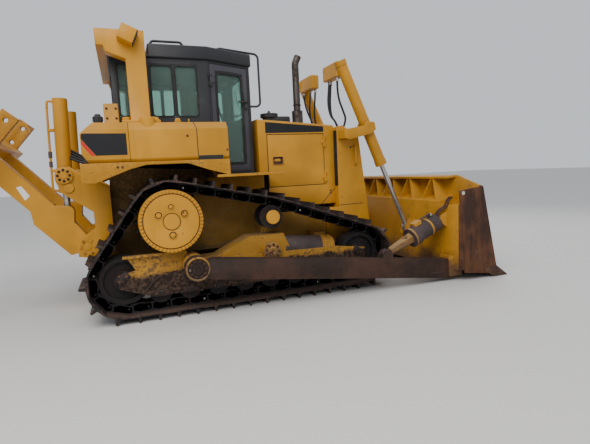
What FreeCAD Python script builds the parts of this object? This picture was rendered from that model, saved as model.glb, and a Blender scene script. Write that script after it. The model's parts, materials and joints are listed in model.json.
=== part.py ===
import FreeCAD, Part
import math
import os
from FreeCAD import Vector

os.makedirs("parts", exist_ok=True)

# Crawler bulldozer with semi-U blade, raised multi-shank ripper and enclosed cab.
# +X is forward, +Y the machine's left, +Z up, z = 0 the ground, all in millimetres.

# Overall places
origin_x = 0.0              # middle of the machine's length, moved to x = 0 on export
slip = 0.3                  # gap between two faces that seat or slide on each other
seam = 5.0                  # gap round a panel that opens

# Track chain and its wheels
link_pitch = 203.0
link_count = 40
track_centre_y = 940.0
shoe_width = 560.0
shoe_plate = 14.0
grouser_height = 62.0
grouser_root = 34.0
grouser_tip = 16.0
shoe_back = 52.0            # pin line to the back of the shoe plate
rail_depth = 45.0           # pin line to the rail that the rollers run on
rail_thickness = 46.0
rail_gap = 124.0            # between the two rails of a chain
bushing_radius = 30.0
sprocket_teeth = 23
tooth_tip = 12.0            # tooth height above the pin circle
tooth_root_clear = 4.0      # bushing to the root between two teeth
tooth_side_clear = 26.0     # chain's rails to the sprocket's sides
sprocket_x = -859.0
sprocket_z = 1059.0
idler_pin_radius = 310.0
rear_idler_x = -1383.0
carrier_x = 310.0
carrier_z = 1000.0
carrier_radius = 128.0
carrier_shaft_radius = 50.0
roller_radius = 100.0
roller_shaft_radius = 42.0
roller_flange = 22.0
roller_count = 7
roller_first_x = -1010.0
roller_spacing = 318.0
roller_flange_width = 12.0
idler_hub_radius = 74.0
idler_dish = 45.0           # depth of the idler's rim from its tread to the dished sides
track_outer_y = track_centre_y + shoe_width / 2
hub_radius = 300.0
hub_cover_radius = 335.0
hub_cover_proud = 28.0      # track's outer face to the hub cover's face
hub_cover_y = track_outer_y + hub_cover_proud
hub_cover_depth = 150.0
hub_boss_radius = 84.0
hub_boss_proud = 8.0
# Bosses on the hub cover: angle in degrees, radius of the ring they stand on, boss radius
cover_bosses = [(30, 155.0, 38.0), (150, 152.0, 38.0), (270, 145.0, 40.0), (90, 158.0, 28.0)]
cover_boss_proud = 10.0

# Track frame
track_frame_half = 170.0    # half of the frame's width, about the track's middle
track_frame_inner_y = track_centre_y - track_frame_half
track_frame_outer_y = track_centre_y + track_frame_half
track_frame_side = 30.0     # thickness of its side plates
track_frame_top = 600.0
track_frame_nose = 560.0    # height of its front end
pivot_x = 268.0
pivot_z = 600.0
pivot_radius = 62.0
pivot_boss_radius = 110.0
pivot_hump = 190.0          # frame above the pivot
hump_front = 260.0          # pivot to the hump's foot and to its top edge, ahead and behind
hump_top_front = 180.0
hump_top_rear = 240.0
hump_rear = 640.0
pad_drop = 40.0             # frame's nose to the foot of the cross bar's pad
recoil_radius = 135.0
trunnion_x = -655.0
trunnion_z = 562.0
trunnion_radius = 62.0
trunnion_boss_radius = 120.0
trunnion_boss_y = track_outer_y + 5.0

# Main frame
frame_half_width = 500.0
frame_bottom = 600.0
frame_rear_x = -1450.0
frame_front_x = 1290.0
frame_nose_top = 980.0      # top of the side rails under the engine
belly_z = 560.0
belly_half_width = 380.0
cross_bar_x = 990.0         # rear face of the bar that carries the front of the track frames
cross_bar_length = 150.0
cross_bar_height = 110.0
deck_z = 1500.0
plate = 30.0

# Engine enclosure
hood_half_width = 500.0
hood_rear_x = 370.0
hood_front_x = 1455.0
hood_rear_top = 2215.0
hood_front_top = 2130.0
hood_skirt_z = 1060.0
hood_round = 25.0           # radius along the hood's top edges
door_rear_x = 486.0
door_front_x = 1305.0
door_low_z = 1324.0
door_high_z = 2020.0
latch_x = 630.0             # middle of the door's latch cup
latch_z = 1680.0
latch_length = 120.0
latch_height = 80.0
latch_depth = 14.0
engine_half_width = 290.0
engine_top = 1850.0
engine_head_half = 170.0
engine_head_height = 135.0
sheet = 30.0
exhaust_x = 1035.0
exhaust_y = -250.0
exhaust_base_radius = 75.0
exhaust_base_top = 2350.0
exhaust_radius = 48.0
exhaust_bore = 42.0
exhaust_bend_z = 2988.0     # where the pipe turns forward
exhaust_bend = 110.0
exhaust_top = 3085.0        # middle of its open end
exhaust_lean = 45.0         # pipe to its open end, forward
exhaust_open = 70.0         # depth of its open end
intake_x = 620.0
intake_neck_radius = 90.0
intake_cap_radius = 120.0
intake_cap_z = 2260.0
intake_cap_height = 50.0

# Radiator guard and lift cylinder yokes
guard_half_width = 600.0
guard_recess = 60.0
guard_low = 500.0
guard_top = 2115.0
guard_face_high_x = 1790.0  # sloping front face, at the top
guard_face_high_z = 1950.0
guard_face_low_x = 1895.0   # and at the foot of the slope
guard_face_low_z = 1075.0
guard_chin_x = 1950.0       # foremost point, at the belly's height
grille_low = 1090.0
grille_high = 1850.0
grille_margin = 90.0        # guard's side to the grille
grille_bar = 40.0
louvre_count = 16
yoke_x = 1875.0
yoke_z = 2062.0
lift_y = 685.0
lift_barrel_radius = 75.0
lift_rod_radius = 32.0
lift_head = 943.0           # yoke to the head end of the barrel
lift_gland = 549.0          # yoke to the gland end
lift_piston = -80.0         # yoke to the rod's inner end, blade on the ground
lift_ring = 1.0             # ring round the barrel at its pins
lift_block_back = 35.0      # hose block on the barrel's head: behind the head's end
lift_block_length = 130.0
lift_block_rise = 24.0      # above the head's end
lift_block_height = 200.0
lift_block_reach = 480.0    # barrel's middle to the block's inner end
yoke_cheek = 38.0
yoke_side_gap = 1.0         # ring to the cheeks
yoke_gap = 2 * (lift_barrel_radius + lift_ring + yoke_side_gap)
yoke_pin_radius = 34.0

# Fenders and tanks
fender_outer_y = 1210.0
fender_skirt = 25.0         # thickness of its upright sheets
# Lower edge of the outer skirt: distance from its rear end, drop from its top
fender_edge = [(0.0, 193.0), (125.0, 200.0), (463.0, 73.0), (632.0, 32.0), (1053.0, 32.0), (1272.0, 110.0),
               (1429.0, 155.0)]
fender_rear_x = -1690.0
fender_step_x = -180.0
platform_front_x = 455.0
platform_top = 1530.0
fender_top = 1700.0
cab_half_width = 760.0
cab_tank_gap = 90.0         # cab's wall to the tanks beside it
tank_inner_y = cab_half_width + cab_tank_gap
tank_inset = 10.0           # fender's outer face to the tanks'
tank_outer_y = fender_outer_y - tank_inset
tank_top = 2110.0
tank_bevel = 75.0
tank_lip = 30.0             # bevel along the tanks' foot
tank_rear_high = 120.0      # bevels of the fuel tank's rear, above and below
tank_rear_low = 100.0
tank_seam = 4.0
tank_corner = 130.0         # side tank's front inner corner, cut along x and across
tank_corner_y = 90.0
filler_x = -1494.0
filler_y = 100.0            # tank's inner face to the filler cap
filler_radius = 43.0
filler_height = 80.0
filler_knob_radius = 26.0
filler_knob_height = 22.0
tank_box_rear_x = -1430.0   # small box on the tank, beside the filler
tank_box_length = 145.0
tank_box_width = 120.0
tank_box_height = 205.0
tank_box_y = 50.0           # tank's inner face to the box
tank_rear_x = -1665.0
tank_middle_x = -1560.0     # rear face between the ends, clear of the swinging ripper cylinders
tank_seam_x = -1210.0
tank_front_x = -180.0
well_front_x = -300.0       # front end of the raised floor over the tracks

# Door hinges
hinge_length = 150.0
hinge_radius = 13.0
hinge_pin_radius = 7.0
hinge_offset = 14.0         # pin line to the wall that the hinge is fixed on
hinge_strap = 10.0          # thickness of its straps
hinge_inset = 110.0         # engine door's ends to its hinges
cab_hinge_low = 140.0       # cab door's foot to its lower hinge
cab_hinge_high = 190.0      # cab door's top to its upper hinge

# Cab
cab_nose_half_width = 500.0
cab_rear_x = -1330.0
cab_pillar_x = -280.0
cab_front_x = 300.0
cab_wall = 40.0
cab_height = 1480.0         # platform to the roof's top
roof_top = platform_top + cab_height
roof_depth = 150.0          # roof above the cab's walls
cab_wall_top = roof_top - roof_depth
roof_lip = 25.0
roof_under_head = 10.0      # thin rear part of the roof to the rollover head above it
glass = 6.0
cab_door_low = 1560.0
cab_door_drop = 30.0        # wall top to the doorway's top
cab_door_high = cab_wall_top - cab_door_drop
cab_door_frame = 70.0
cab_door_sill = 90.0        # door's frame under its window
cab_door_head = 80.0        # and above it
door_start = 35.0           # pillar to the doorway along the door's wall
door_stop = 45.0            # doorway to the front corner
door_handle_z = 850.0       # doorway's foot to the handle's middle
door_handle_length = 140.0
door_handle_proud = 34.0
window_drop = 70.0          # wall top to the windows' top
front_window_drop = 60.0
side_window_sill = 100.0    # tank top to the side windows
rear_window_sill = 50.0
front_window_sill = 45.0    # hood to the front window
front_window_inset = 70.0
rear_window_inset = 160.0
rear_pane_start = 60.0      # cab's rear to the first side window
rear_pane_length = 285.0
sliding_pane_length = 250.0
post_mullion = 60.0
pane_mullion = 20.0
pillar_width = 120.0
bench_lip = 15.0            # cab's inner lining beside the fenders
seat_rear_x = -1130.0
seat_front_x = -470.0
seat_base_x = -900.0
seat_base_length = 340.0
seat_base_half = 180.0
seat_half_width = 250.0
seat_height = 330.0
seat_cushion = 120.0
seat_back_height = 1020.0
seat_back_depth = 90.0
dash_x = 20.0
dash_depth = 230.0
dash_height = 640.0
dash_half_width = 300.0

# Rollover frame
post_inset = 20.0           # tank's inner face to the posts
post_width = 160.0
post_inner_y = tank_inner_y + post_inset
post_outer_y = post_inner_y + post_width
post_rear_x = -1170.0
post_front_x = -970.0
post_foot = 32.0            # thickness of the bolted foot
head_rear_x = -1450.0
head_overlap = 60.0         # posts' front to the head's front
head_above_roof = 55.0
head_depth = 165.0
head_top_z = roof_top + head_above_roof
head_low_z = head_top_z - head_depth
lamp_x = -1140.0
lamp_half = 75.0
lamp_half_length = 80.0
lamp_turn = 24.0            # degrees
rail_rear_x = -880.0        # roof rails
rail_front_x = -520.0
rail_y = 600.0
rail_height = 75.0
rail_radius = 14.0
rail_bend = 40.0
front_rail_y = 475.0        # bent rails round the cab's front upper corners
front_rail_rear_x = -110.0
front_rail_high = 70.0      # above the roof, at the rear and at the front
front_rail_low = 12.0
front_rail_reach = 135.0    # cab's front to the rail's upright
front_rail_drop = 635.0     # roof's top to the rail's lower end
front_rail_bend = 60.0

# Blade and push arms
arm_clear = 125.0           # tracks to the push arms
arm_width = 150.0
arm_inner_y = track_outer_y + arm_clear
arm_outer_y = arm_inner_y + arm_width
arm_rear_x = -530.0
arm_front_x = 2560.0
arm_blade_gap = 25.0        # arms' front to the blade's beam
arm_rear_low = 427.0        # underside and top at the arm's rear
arm_rear_high = 657.0
arm_front_low = 40.0        # and at its front
arm_front_high = 290.0
arm_socket_radius = 128.0
arm_socket_inset = 20.0     # arm's outer face to the socket's
trunnion_cover = 40.0       # arm's outer face to the end of the trunnion pin
blade_overhang = 135.0      # push arms to the blade's end
blade_half_width = arm_outer_y + blade_overhang
blade_wing_width = 300.0
blade_corner_y = blade_half_width - blade_wing_width
blade_skin = 25.0
beam_back_x = arm_front_x + arm_blade_gap
blade_depth = 505.0
skin_front_x = beam_back_x + blade_depth    # front face at the skin's lower edge, between the corners
skin_hollow = 165.0         # how far the skin's front lies back at mid height
skin_mid_z = 640.0
skin_lean = 215.0           # and at the top
blade_top = 1370.0
wing_top = 1215.0
wing_forward = 140.0
beam_low = 150.0
beam_top = 1035.0
flange_depth = 180.0        # ledge behind the blade's top edge
flange_thickness = 28.0
rib_thickness = 20.0
rib_foot_x = 55.0           # beam's back to the ribs at the ledge
rib_head_x = 115.0          # and at the top flange
# Zig-zag ribs between the ledge and the top flange: y at the ledge, y at the flange
rib_places = [(1150.0, 1010.0), (840.0, 980.0), (620.0, 480.0), (300.0, 440.0), (160.0, 40.0)]
end_plate = 30.0
skin_low = 150.0            # lower edge of the blade's skin, where the cutting edge starts
edge_clear = 4.0            # cutting edge above the ground
edge_reach = 172.0          # skin's lower edge to the cutting edge's tip
edge_thickness = 40.0
tip_reach = 207.0           # end plate's lower front corner to the tip's point
lift_eye_back = 95.0        # beam's back to the lift cylinders' eyes
lift_eye_x = beam_back_x - lift_eye_back
lift_eye_z = 640.0
lift_eye_radius = 58.0
lift_eye_width = 80.0
tilt_radius = 112.0
tilt_rod_radius = 30.0
tilt_pin_radius = 25.0
tilt_eye_half = 35.0
tilt_low_eye_radius = 46.0
tilt_high_eye_radius = 62.0
tilt_cheek = 34.0
tilt_eye_back = 55.0        # beam's back to the tilt cylinder's upper eye
tilt_end_x = beam_back_x - tilt_eye_back
tilt_run = 862.0            # between its eyes, along x
tilt_start_x = tilt_end_x - tilt_run        # lower eye, on the push arm
tilt_start_y = (arm_inner_y + arm_outer_y) / 2
tilt_start_rise = 59.0      # arm's top to the lower eye
tilt_lean_y = 68.0          # lower eye to upper eye, across
tilt_end_y = tilt_start_y - tilt_lean_y
tilt_end_z = 792.0
tilt_gland = 430.0          # lower eye to the barrel's start
tilt_collar = 14.0          # collar at the barrel's start, beyond its radius
tilt_eye_root = 38.0        # lower eye to where the rod starts, and 50 at the other end
tilt_eye_neck = 50.0
brace_radius = 75.0
brace_start = 260.0
brace_stop = 200.0
lift_lug = 26.0             # thickness of the lugs round the lift cylinders' eyes
tilt_lug = 30.0

# Ripper
ripper_pivot_x = -1735.0
ripper_pivot_z = 790.0
ripper_mast_y = 520.0       # middle of an arm and of its cylinder
ripper_arm_width = 170.0
ripper_arm_depth = 210.0
arm_heel_depth = 80.0       # arm's underside behind its fold, beyond half its depth
arm_heel_start = 60.0       # pivot to the heel's ends and to its fold
arm_heel_end = 560.0
arm_heel_fold = 680.0
lug_radius = 74.0           # rounded top of the rod lugs
ripper_beam_at = 1560.0     # arm pins to the middle of the tool beam
ripper_arm_angle = 131.5    # above +X, in the stored position
ripper_pin_x = -1900.0
ripper_pin_z = 1600.0
ripper_eye_x = -1912.0
ripper_eye_z = 1195.0
ripper_eye_radius = 60.0
ripper_eye_width = 84.0
ripper_pin_radius = 40.0
ripper_foot_radius = 50.0
ripper_barrel_radius = 76.0
ripper_head = 840.0
ripper_gland = 190.0
ripper_rod_radius = 36.0
ripper_beam_size = 300.0
ripper_beam_half_width = 1080.0
ripper_raise = 40.0         # from working to stored
shank_above = 500.0
shank_below = 1208.5
shank_depth = 200.0
shank_thickness = 74.0
shank_spacing = 950.0
shank_hole_radius = 28.0
shank_hole_drop = 90.0      # shank's top to its first hole
shank_hole_step = 230.0
tip_half_extra = 14.0       # tip beyond the shank, on each side
bracket_low = 650.0
bracket_high = 1440.0
bracket_back = 40.0
pin_cap_radius = 88.0       # caps over the cylinders' pins
pin_cap_depth = 24.0
cheek = 38.0


# Shape helpers

def box(x0, x1, y0, y1, z0, z1):
    return Part.makeBox(x1 - x0, y1 - y0, z1 - z0, Vector(x0, y0, z0))


def side_prism(points, y0, y1):
    """Polygon of (x, z) points, carried from y0 to y1."""
    wire = Part.makePolygon([Vector(x, y0, z) for x, z in points + points[:1]])
    return Part.Face(wire).extrude(Vector(0, y1 - y0, 0))


def plan_prism(points, z0, z1):
    """Polygon of (x, y) points, carried from z0 to z1."""
    wire = Part.makePolygon([Vector(x, y, z0) for x, y in points + points[:1]])
    return Part.Face(wire).extrude(Vector(0, 0, z1 - z0))


def cross_pin(x, z, y0, y1, radius):
    return Part.makeCylinder(radius, y1 - y0, Vector(x, y0, z), Vector(0, 1, 0))


def rod_between(start, end, radius):
    axis = end - start
    return Part.makeCylinder(radius, axis.Length, start, axis)


def along(x, z, angle, distance, y=0.0):
    """Point at a distance from (x, z) in the direction of an angle above +X."""
    turn = math.radians(angle)
    return Vector(x + distance * math.cos(turn), y, z + distance * math.sin(turn))


def both_sides(shape):
    return [shape, shape.mirror(Vector(0, 0, 0), Vector(0, 1, 0))]


def fuse(shapes):
    whole = shapes[0]
    if len(shapes) > 1:
        whole = whole.fuse(shapes[1:])
    return whole.removeSplitter()


def cut(shape, tools):
    for tool in tools:
        shape = shape.cut(tool)
    return shape


def bent_tube(points, radius, bend):
    """Round bar along straight runs that join in arcs of one radius."""
    edges = []
    start = points[0]
    for before, corner, after in zip(points, points[1:], points[2:]):
        back = (before - corner).normalize()
        ahead = (after - corner).normalize()
        half = back.getAngle(ahead) / 2
        trim = bend / math.tan(half)
        first = corner + back * trim
        last = corner + ahead * trim
        inward = (back + ahead).normalize()
        middle = corner + inward * (bend / math.sin(half) - bend)
        edges.append(Part.LineSegment(start, first).toShape())
        edges.append(Part.Arc(first, middle, last).toShape())
        start = last
    edges.append(Part.LineSegment(start, points[-1]).toShape())
    path = Part.Wire(edges)
    ring = Part.Wire(Part.makeCircle(radius, points[0], points[1] - points[0]))
    return path.makePipeShell([ring], True, True)


def mirrored(shapes):
    return [shape.mirror(Vector(0, 0, 0), Vector(0, 1, 0)) for shape in shapes]


def hinge(strap_fixed, strap_leaf):
    """Upright hinge at the origin on a wall that runs along x: its fixed part and the leaf's part."""
    half = hinge_length / 2
    knuckle = hinge_length / 6
    wall = hinge_offset
    fixed = [Part.makeCylinder(hinge_pin_radius, hinge_length, Vector(0, 0, -half))]
    for z in (-half, knuckle + slip):
        fixed.append(Part.makeCylinder(hinge_radius, half - knuckle - slip, Vector(0, 0, z)))
        fixed.append(box(-strap_fixed, 0, hinge_offset - hinge_strap, wall, z, z + half - knuckle - slip))
    leaf = [Part.makeCylinder(hinge_radius, 2 * knuckle, Vector(0, 0, -knuckle)),
            box(0, strap_leaf, hinge_offset - hinge_strap, wall, -knuckle, knuckle)]
    bore = Part.makeCylinder(hinge_pin_radius + slip, hinge_length, Vector(0, 0, -half))
    return fuse(fixed), fuse(leaf).cut(bore)


def export(name, shapes):
    placed = []
    for shape in shapes:
        moved = shape.copy()
        moved.translate(Vector(-origin_x, 0, 0))
        placed.extend(moved.Solids)
    whole = placed[0] if len(placed) == 1 else Part.makeCompound(placed)
    whole.exportStep("parts/" + name + ".step")


# Track chain: the pin line runs round the sprocket, carrier roller and idlers

ground_pin_z = grouser_height + shoe_plate + shoe_back
idler_z = ground_pin_z + idler_pin_radius
sprocket_pin_radius = link_pitch * sprocket_teeth / (4 * math.pi)
carrier_pin_radius = carrier_radius + rail_depth


def pin_wheels(front_idler_x):
    """Wheels in the order that the chain meets them: x, z, pin radius."""
    return [(front_idler_x, idler_z, idler_pin_radius),
            (carrier_x, carrier_z, carrier_pin_radius),
            (sprocket_x, sprocket_z, sprocket_pin_radius),
            (rear_idler_x, idler_z, idler_pin_radius)]


def outer_tangent(wheel, following):
    """Contact angle shared by two wheels on the outside of the loop."""
    dx = following[0] - wheel[0]
    dz = following[1] - wheel[1]
    lean = math.asin((wheel[2] - following[2]) / math.hypot(dx, dz))
    return math.atan2(dz, dx) - math.pi / 2 + lean


def chain_runs(front_idler_x):
    """Arcs and straight runs of the pin line, from the front idler upwards."""
    wheels = pin_wheels(front_idler_x)
    angles = [outer_tangent(w, wheels[(i + 1) % 4]) for i, w in enumerate(wheels)]
    runs = []
    for i, (x, z, radius) in enumerate(wheels):
        enter = angles[i - 1]
        turn = (angles[i] - enter) % (2 * math.pi)
        runs.append(("arc", x, z, radius, enter, turn))
        x2, z2, radius2 = wheels[(i + 1) % 4]
        a = angles[i]
        start = (x + radius * math.cos(a), z + radius * math.sin(a))
        end = (x2 + radius2 * math.cos(a), z2 + radius2 * math.sin(a))
        runs.append(("line", start, end, math.dist(start, end)))
    return runs


def run_length(run):
    return run[3] * run[5] if run[0] == "arc" else run[3]


def tension_idler():
    """Front idler place that makes the chain just tight, found by halving."""
    low = rear_idler_x + 2 * idler_pin_radius
    high = rear_idler_x + link_pitch * link_count / 2
    for _ in range(40):
        middle = (low + high) / 2
        total = sum(run_length(run) for run in chain_runs(middle))
        if total < link_pitch * link_count:
            low = middle
        else:
            high = middle
    return (low + high) / 2


front_idler_x = tension_idler()
loop = chain_runs(front_idler_x)
sprocket_run_start = sum(run_length(run) for run in loop[:4])
sprocket_entry = loop[4][4]


def chain_frame(distance):
    """Point, forward and outward directions at a distance along the pin line."""
    distance %= link_pitch * link_count
    for run in loop:
        if distance <= run_length(run) + 1e-6:
            break
        distance -= run_length(run)
    if run[0] == "arc":
        angle = run[4] + distance / run[3]
        out = (math.cos(angle), math.sin(angle))
        point = (run[1] + run[3] * out[0], run[2] + run[3] * out[1])
    else:
        share = distance / run[3]
        point = tuple(a + (b - a) * share for a, b in zip(run[1], run[2]))
        ahead = tuple((b - a) / run[3] for a, b in zip(run[1], run[2]))
        out = (ahead[1], -ahead[0])
    return point, (-out[1], out[0]), out


def chain_outline(profile):
    """Closed outline from one link's profile: share of pitch, height above the pin line."""
    points = []
    for link in range(link_count):
        for share, height in profile:
            point, _, out = chain_frame((link + share) * link_pitch)
            points.append((point[0] + out[0] * height, point[1] + out[1] * height))
    return points


def ring_prism(outer, inner, y0, y1):
    return side_prism(outer, y0, y1).cut(side_prism(inner, y0 - 1, y1 + 1))


plate_top = shoe_back + shoe_plate
grouser_end = plate_top + grouser_height
root_share = grouser_root / link_pitch / 2
tip_share = grouser_tip / link_pitch / 2
shoe_profile = [(0.04, plate_top), (0.5 - root_share, plate_top), (0.5 - tip_share, grouser_end),
                (0.5 + tip_share, grouser_end), (0.5 + root_share, plate_top), (0.96, plate_top)]
rail_flat = 0.3             # half of a link's straight rail, as a share of the pitch
rail_profile = [(0.0, -rail_depth / 2), (0.5 - rail_flat, -rail_depth), (0.5 + rail_flat, -rail_depth)]


def tread_radius(pin_radius):
    """Largest wheel under the straight rails of a chain bent to a pin radius."""
    return (pin_radius - rail_depth) * math.cos(rail_flat * link_pitch / pin_radius) - slip


def track():
    inner_y = track_centre_y - shoe_width / 2
    outer_y = track_centre_y + shoe_width / 2
    back_line = chain_outline([(0.0, shoe_back)])
    belt = ring_prism(chain_outline(shoe_profile), back_line, inner_y, outer_y)
    rail_inner = track_centre_y - rail_gap / 2
    rail_outer = track_centre_y + rail_gap / 2
    rail_line = chain_outline([(0.0, shoe_back + shoe_plate / 2)])
    rail_edge = chain_outline(rail_profile)
    pieces = [belt]
    for y0 in (rail_inner - rail_thickness, rail_outer):
        pieces.append(ring_prism(rail_line, rail_edge, y0, y0 + rail_thickness))
    for link in range(link_count):
        point, ahead, out = chain_frame(link * link_pitch)
        hexagon = []
        for corner in range(6):
            turn = math.radians(60 * corner)
            a = bushing_radius * math.cos(turn)
            b = bushing_radius * math.sin(turn)
            hexagon.append((point[0] + ahead[0] * a + out[0] * b, point[1] + ahead[1] * a + out[1] * b))
        pieces.append(side_prism(hexagon, rail_inner - 5, rail_outer + 5))
    return fuse(pieces)


def sprocket():
    """Toothed rim between the rails, with the final drive hub and its cover."""
    first_pin = -sprocket_run_start % link_pitch
    phase = sprocket_entry + first_pin / sprocket_pin_radius
    root = sprocket_pin_radius - bushing_radius - tooth_root_clear
    tip = sprocket_pin_radius + tooth_tip
    step = 2 * math.pi / sprocket_teeth
    points = []
    for tooth in range(sprocket_teeth):
        middle = phase + (tooth + 0.5) * step
        for share, radius in ((-0.20, root), (-0.09, tip), (0.09, tip), (0.20, root)):
            a = middle + share * step
            points.append((sprocket_x + radius * math.cos(a), sprocket_z + radius * math.sin(a)))
    half = rail_gap / 2 - tooth_side_clear
    rim = side_prism(points, track_centre_y - half, track_centre_y + half)
    hub_start = frame_half_width + slip
    hub = cross_pin(sprocket_x, sprocket_z, hub_start, hub_cover_y - 20, hub_radius - 20)
    cover_start = hub_cover_y - hub_cover_depth
    cover = cross_pin(sprocket_x, sprocket_z, cover_start, hub_cover_y, hub_cover_radius)
    cover = cover.makeChamfer(10, [cover.Edges[0]])
    boss = cross_pin(sprocket_x, sprocket_z, hub_cover_y - 5, hub_cover_y + hub_boss_proud, hub_boss_radius)
    pieces = [rim, hub, cover, boss]
    for angle, ring, radius in cover_bosses:
        centre = along(sprocket_x, sprocket_z, angle, ring)
        pieces.append(cross_pin(centre.x, centre.z, hub_cover_y - 5, hub_cover_y + cover_boss_proud, radius))
    return fuse(pieces)


def roller(x, z, radius, shaft_radius, y_inner, y_outer):
    """Double-flanged roller on its shaft; rails run each side of the middle flange."""
    rail_side = rail_gap / 2 + rail_thickness
    tread = cross_pin(x, z, track_centre_y - rail_side, track_centre_y + rail_side, radius)
    pieces = [tread]
    gap = 2
    for y0 in (track_centre_y - rail_side - gap - roller_flange_width, track_centre_y + rail_side + gap):
        pieces.append(cross_pin(x, z, y0, y0 + roller_flange_width, radius + roller_flange))
    pieces.append(cross_pin(x, z, y_inner, y_outer, shaft_radius))
    return fuse(pieces)


def bottom_roller_xs():
    return [roller_first_x + i * roller_spacing for i in range(roller_count)]


roller_z = ground_pin_z + rail_depth + slip + roller_radius


def idler(x):
    radius = tread_radius(idler_pin_radius)
    rail_side = rail_gap / 2 + rail_thickness
    wheel = cross_pin(x, idler_z, track_centre_y - rail_side, track_centre_y + rail_side, radius)
    centre = cross_pin(x, idler_z, track_centre_y - rail_gap / 2 + 4, track_centre_y + rail_gap / 2 - 4,
                       idler_pin_radius - bushing_radius - 3)
    dish = []
    web = rail_gap / 2 - 2
    for y0, y1 in ((track_centre_y + web, track_centre_y + rail_side + 1),
                   (track_centre_y - rail_side - 1, track_centre_y - web)):
        dish.append(cross_pin(x, idler_z, y0, y1, radius - idler_dish).cut(
            cross_pin(x, idler_z, y0, y1, idler_hub_radius * 1.5)))
    hub = cross_pin(x, idler_z, track_frame_inner_y + track_frame_side + slip,
                    track_frame_outer_y - track_frame_side - slip, idler_hub_radius)
    return cut(fuse([wheel, centre]), dish).fuse(hub).removeSplitter()


def running_wheels():
    pieces = []
    for x in bottom_roller_xs():
        pieces.append(roller(x, roller_z, roller_radius, roller_shaft_radius, track_frame_inner_y + 2,
                             track_frame_outer_y - 2))
    pieces.append(roller(carrier_x, carrier_z, tread_radius(carrier_pin_radius), carrier_shaft_radius,
                         track_frame_inner_y + 2, track_frame_outer_y + 20))
    return pieces + [idler(rear_idler_x), idler(front_idler_x)]


def track_frame():
    """Box frame with roller guards, idler arms, recoil tube, pivot and trunnion bosses."""
    inner = track_frame_inner_y
    outer = track_frame_outer_y
    low = roller_z + roller_radius + roller_flange + 8
    rear = rear_idler_x + idler_pin_radius + 15
    front = front_idler_x - idler_pin_radius - 15
    wall = track_frame_side
    hump_z = pivot_z + pivot_hump
    body = side_prism([(rear, low), (front, low), (front, track_frame_nose),
                       (pivot_x + hump_front, track_frame_top), (pivot_x + hump_top_front, hump_z), (pivot_x - hump_top_rear, hump_z),
                       (pivot_x - hump_rear, track_frame_top), (rear, track_frame_top)],
                      inner + wall, outer - wall)
    pieces = [body]
    guard_low = roller_z - 30
    for y0 in (inner, outer - wall):
        pieces.append(side_prism([(rear_idler_x - 60, idler_z - 70), (rear - 40, guard_low),
                                  (front + 40, guard_low), (front_idler_x + 60, idler_z - 70),
                                  (front_idler_x + 60, idler_z + 70), (front, track_frame_nose),
                                  (rear, track_frame_top), (rear_idler_x - 60, idler_z + 70)], y0, y0 + wall))
    ledge_z = track_frame_top + 90
    ledge = box(rear_idler_x, trunnion_x - 60, outer - wall, outer + wall, ledge_z, ledge_z + 25)
    ledge_foot = side_prism([(rear_idler_x + 40, ledge_z + 10), (rear_idler_x + 160, idler_z + 50),
                             (trunnion_x, trunnion_z), (trunnion_x - 60, ledge_z + 10)],
                            outer - wall, outer - 8)
    pad_x = cross_bar_x - 20
    pad_low = track_frame_nose - pad_drop
    pieces.append(side_prism([(pad_x, track_frame_top), (pad_x + cross_bar_length + 40, track_frame_top),
                              (pad_x + cross_bar_length, pad_low), (pad_x + 40, pad_low)],
                             inner - 70, inner + wall))
    pieces += [ledge, ledge_foot]
    tube_end = front_idler_x - idler_pin_radius - 40
    pieces.append(rod_between(Vector(pivot_x + 150, track_centre_y, track_frame_top),
                              Vector(tube_end, track_centre_y, track_frame_nose - 20), recoil_radius))
    pieces.append(cross_pin(pivot_x, pivot_z, outer - 60, outer + 60, pivot_boss_radius))
    pieces.append(cross_pin(trunnion_x, trunnion_z, outer - 60, trunnion_boss_y, trunnion_boss_radius))
    pieces.append(cross_pin(trunnion_x, trunnion_z, outer, arm_outer_y - trunnion_cover, trunnion_radius))
    pieces.append(box(carrier_x - 60, carrier_x + 60, inner, inner + wall, track_frame_nose - 20,
                      carrier_z + 60))
    whole = fuse(pieces)
    # Bores for the roller, idler, carrier and pivot shafts
    for x in bottom_roller_xs():
        whole = whole.cut(cross_pin(x, roller_z, inner, outer, roller_shaft_radius + slip))
    whole = whole.cut(cross_pin(carrier_x, carrier_z, inner, inner + 80, carrier_shaft_radius + slip))
    whole = whole.cut(cross_pin(pivot_x, pivot_z, inner - 5, inner + 150, pivot_radius + slip))
    return whole


def main_frame():
    """Steering case, side rails, deck plate, belly plates and the pivot shaft."""
    half = frame_half_width
    case = side_prism([(frame_rear_x, frame_bottom + 40), (frame_rear_x + 60, frame_bottom),
                       (frame_front_x, frame_bottom), (frame_front_x, frame_nose_top),
                       (hood_rear_x, frame_nose_top), (hood_rear_x, deck_z - slip),
                       (frame_rear_x, deck_z - slip)], -half, half)
    shaft = cross_pin(pivot_x, pivot_z, -track_frame_inner_y - 100, track_frame_inner_y + 100, pivot_radius)
    belly = side_prism([(frame_rear_x + 100, frame_bottom), (frame_rear_x + 160, belly_z),
                        (frame_front_x - 20, belly_z), (frame_front_x, frame_bottom)],
                       -belly_half_width, belly_half_width)
    bar = box(cross_bar_x, cross_bar_x + cross_bar_length, -track_frame_inner_y + 1, track_frame_inner_y - 1,
              track_frame_top + slip, track_frame_top + cross_bar_height)
    return fuse([case, shaft, belly, bar])


def engine():
    block = box(hood_rear_x + 200, door_front_x - 30, -engine_half_width, engine_half_width,
                frame_nose_top + slip, engine_top)
    head = box(hood_rear_x + 260, door_front_x - 120, -engine_head_half, engine_head_half, engine_top,
               engine_top + engine_head_height)
    return fuse([block, head])


def hood_top(x):
    """Height of the hood's sloping top at x."""
    return hood_rear_top + (hood_front_top - hood_rear_top) * (x - hood_rear_x) / (hood_front_x - hood_rear_x)


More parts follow.
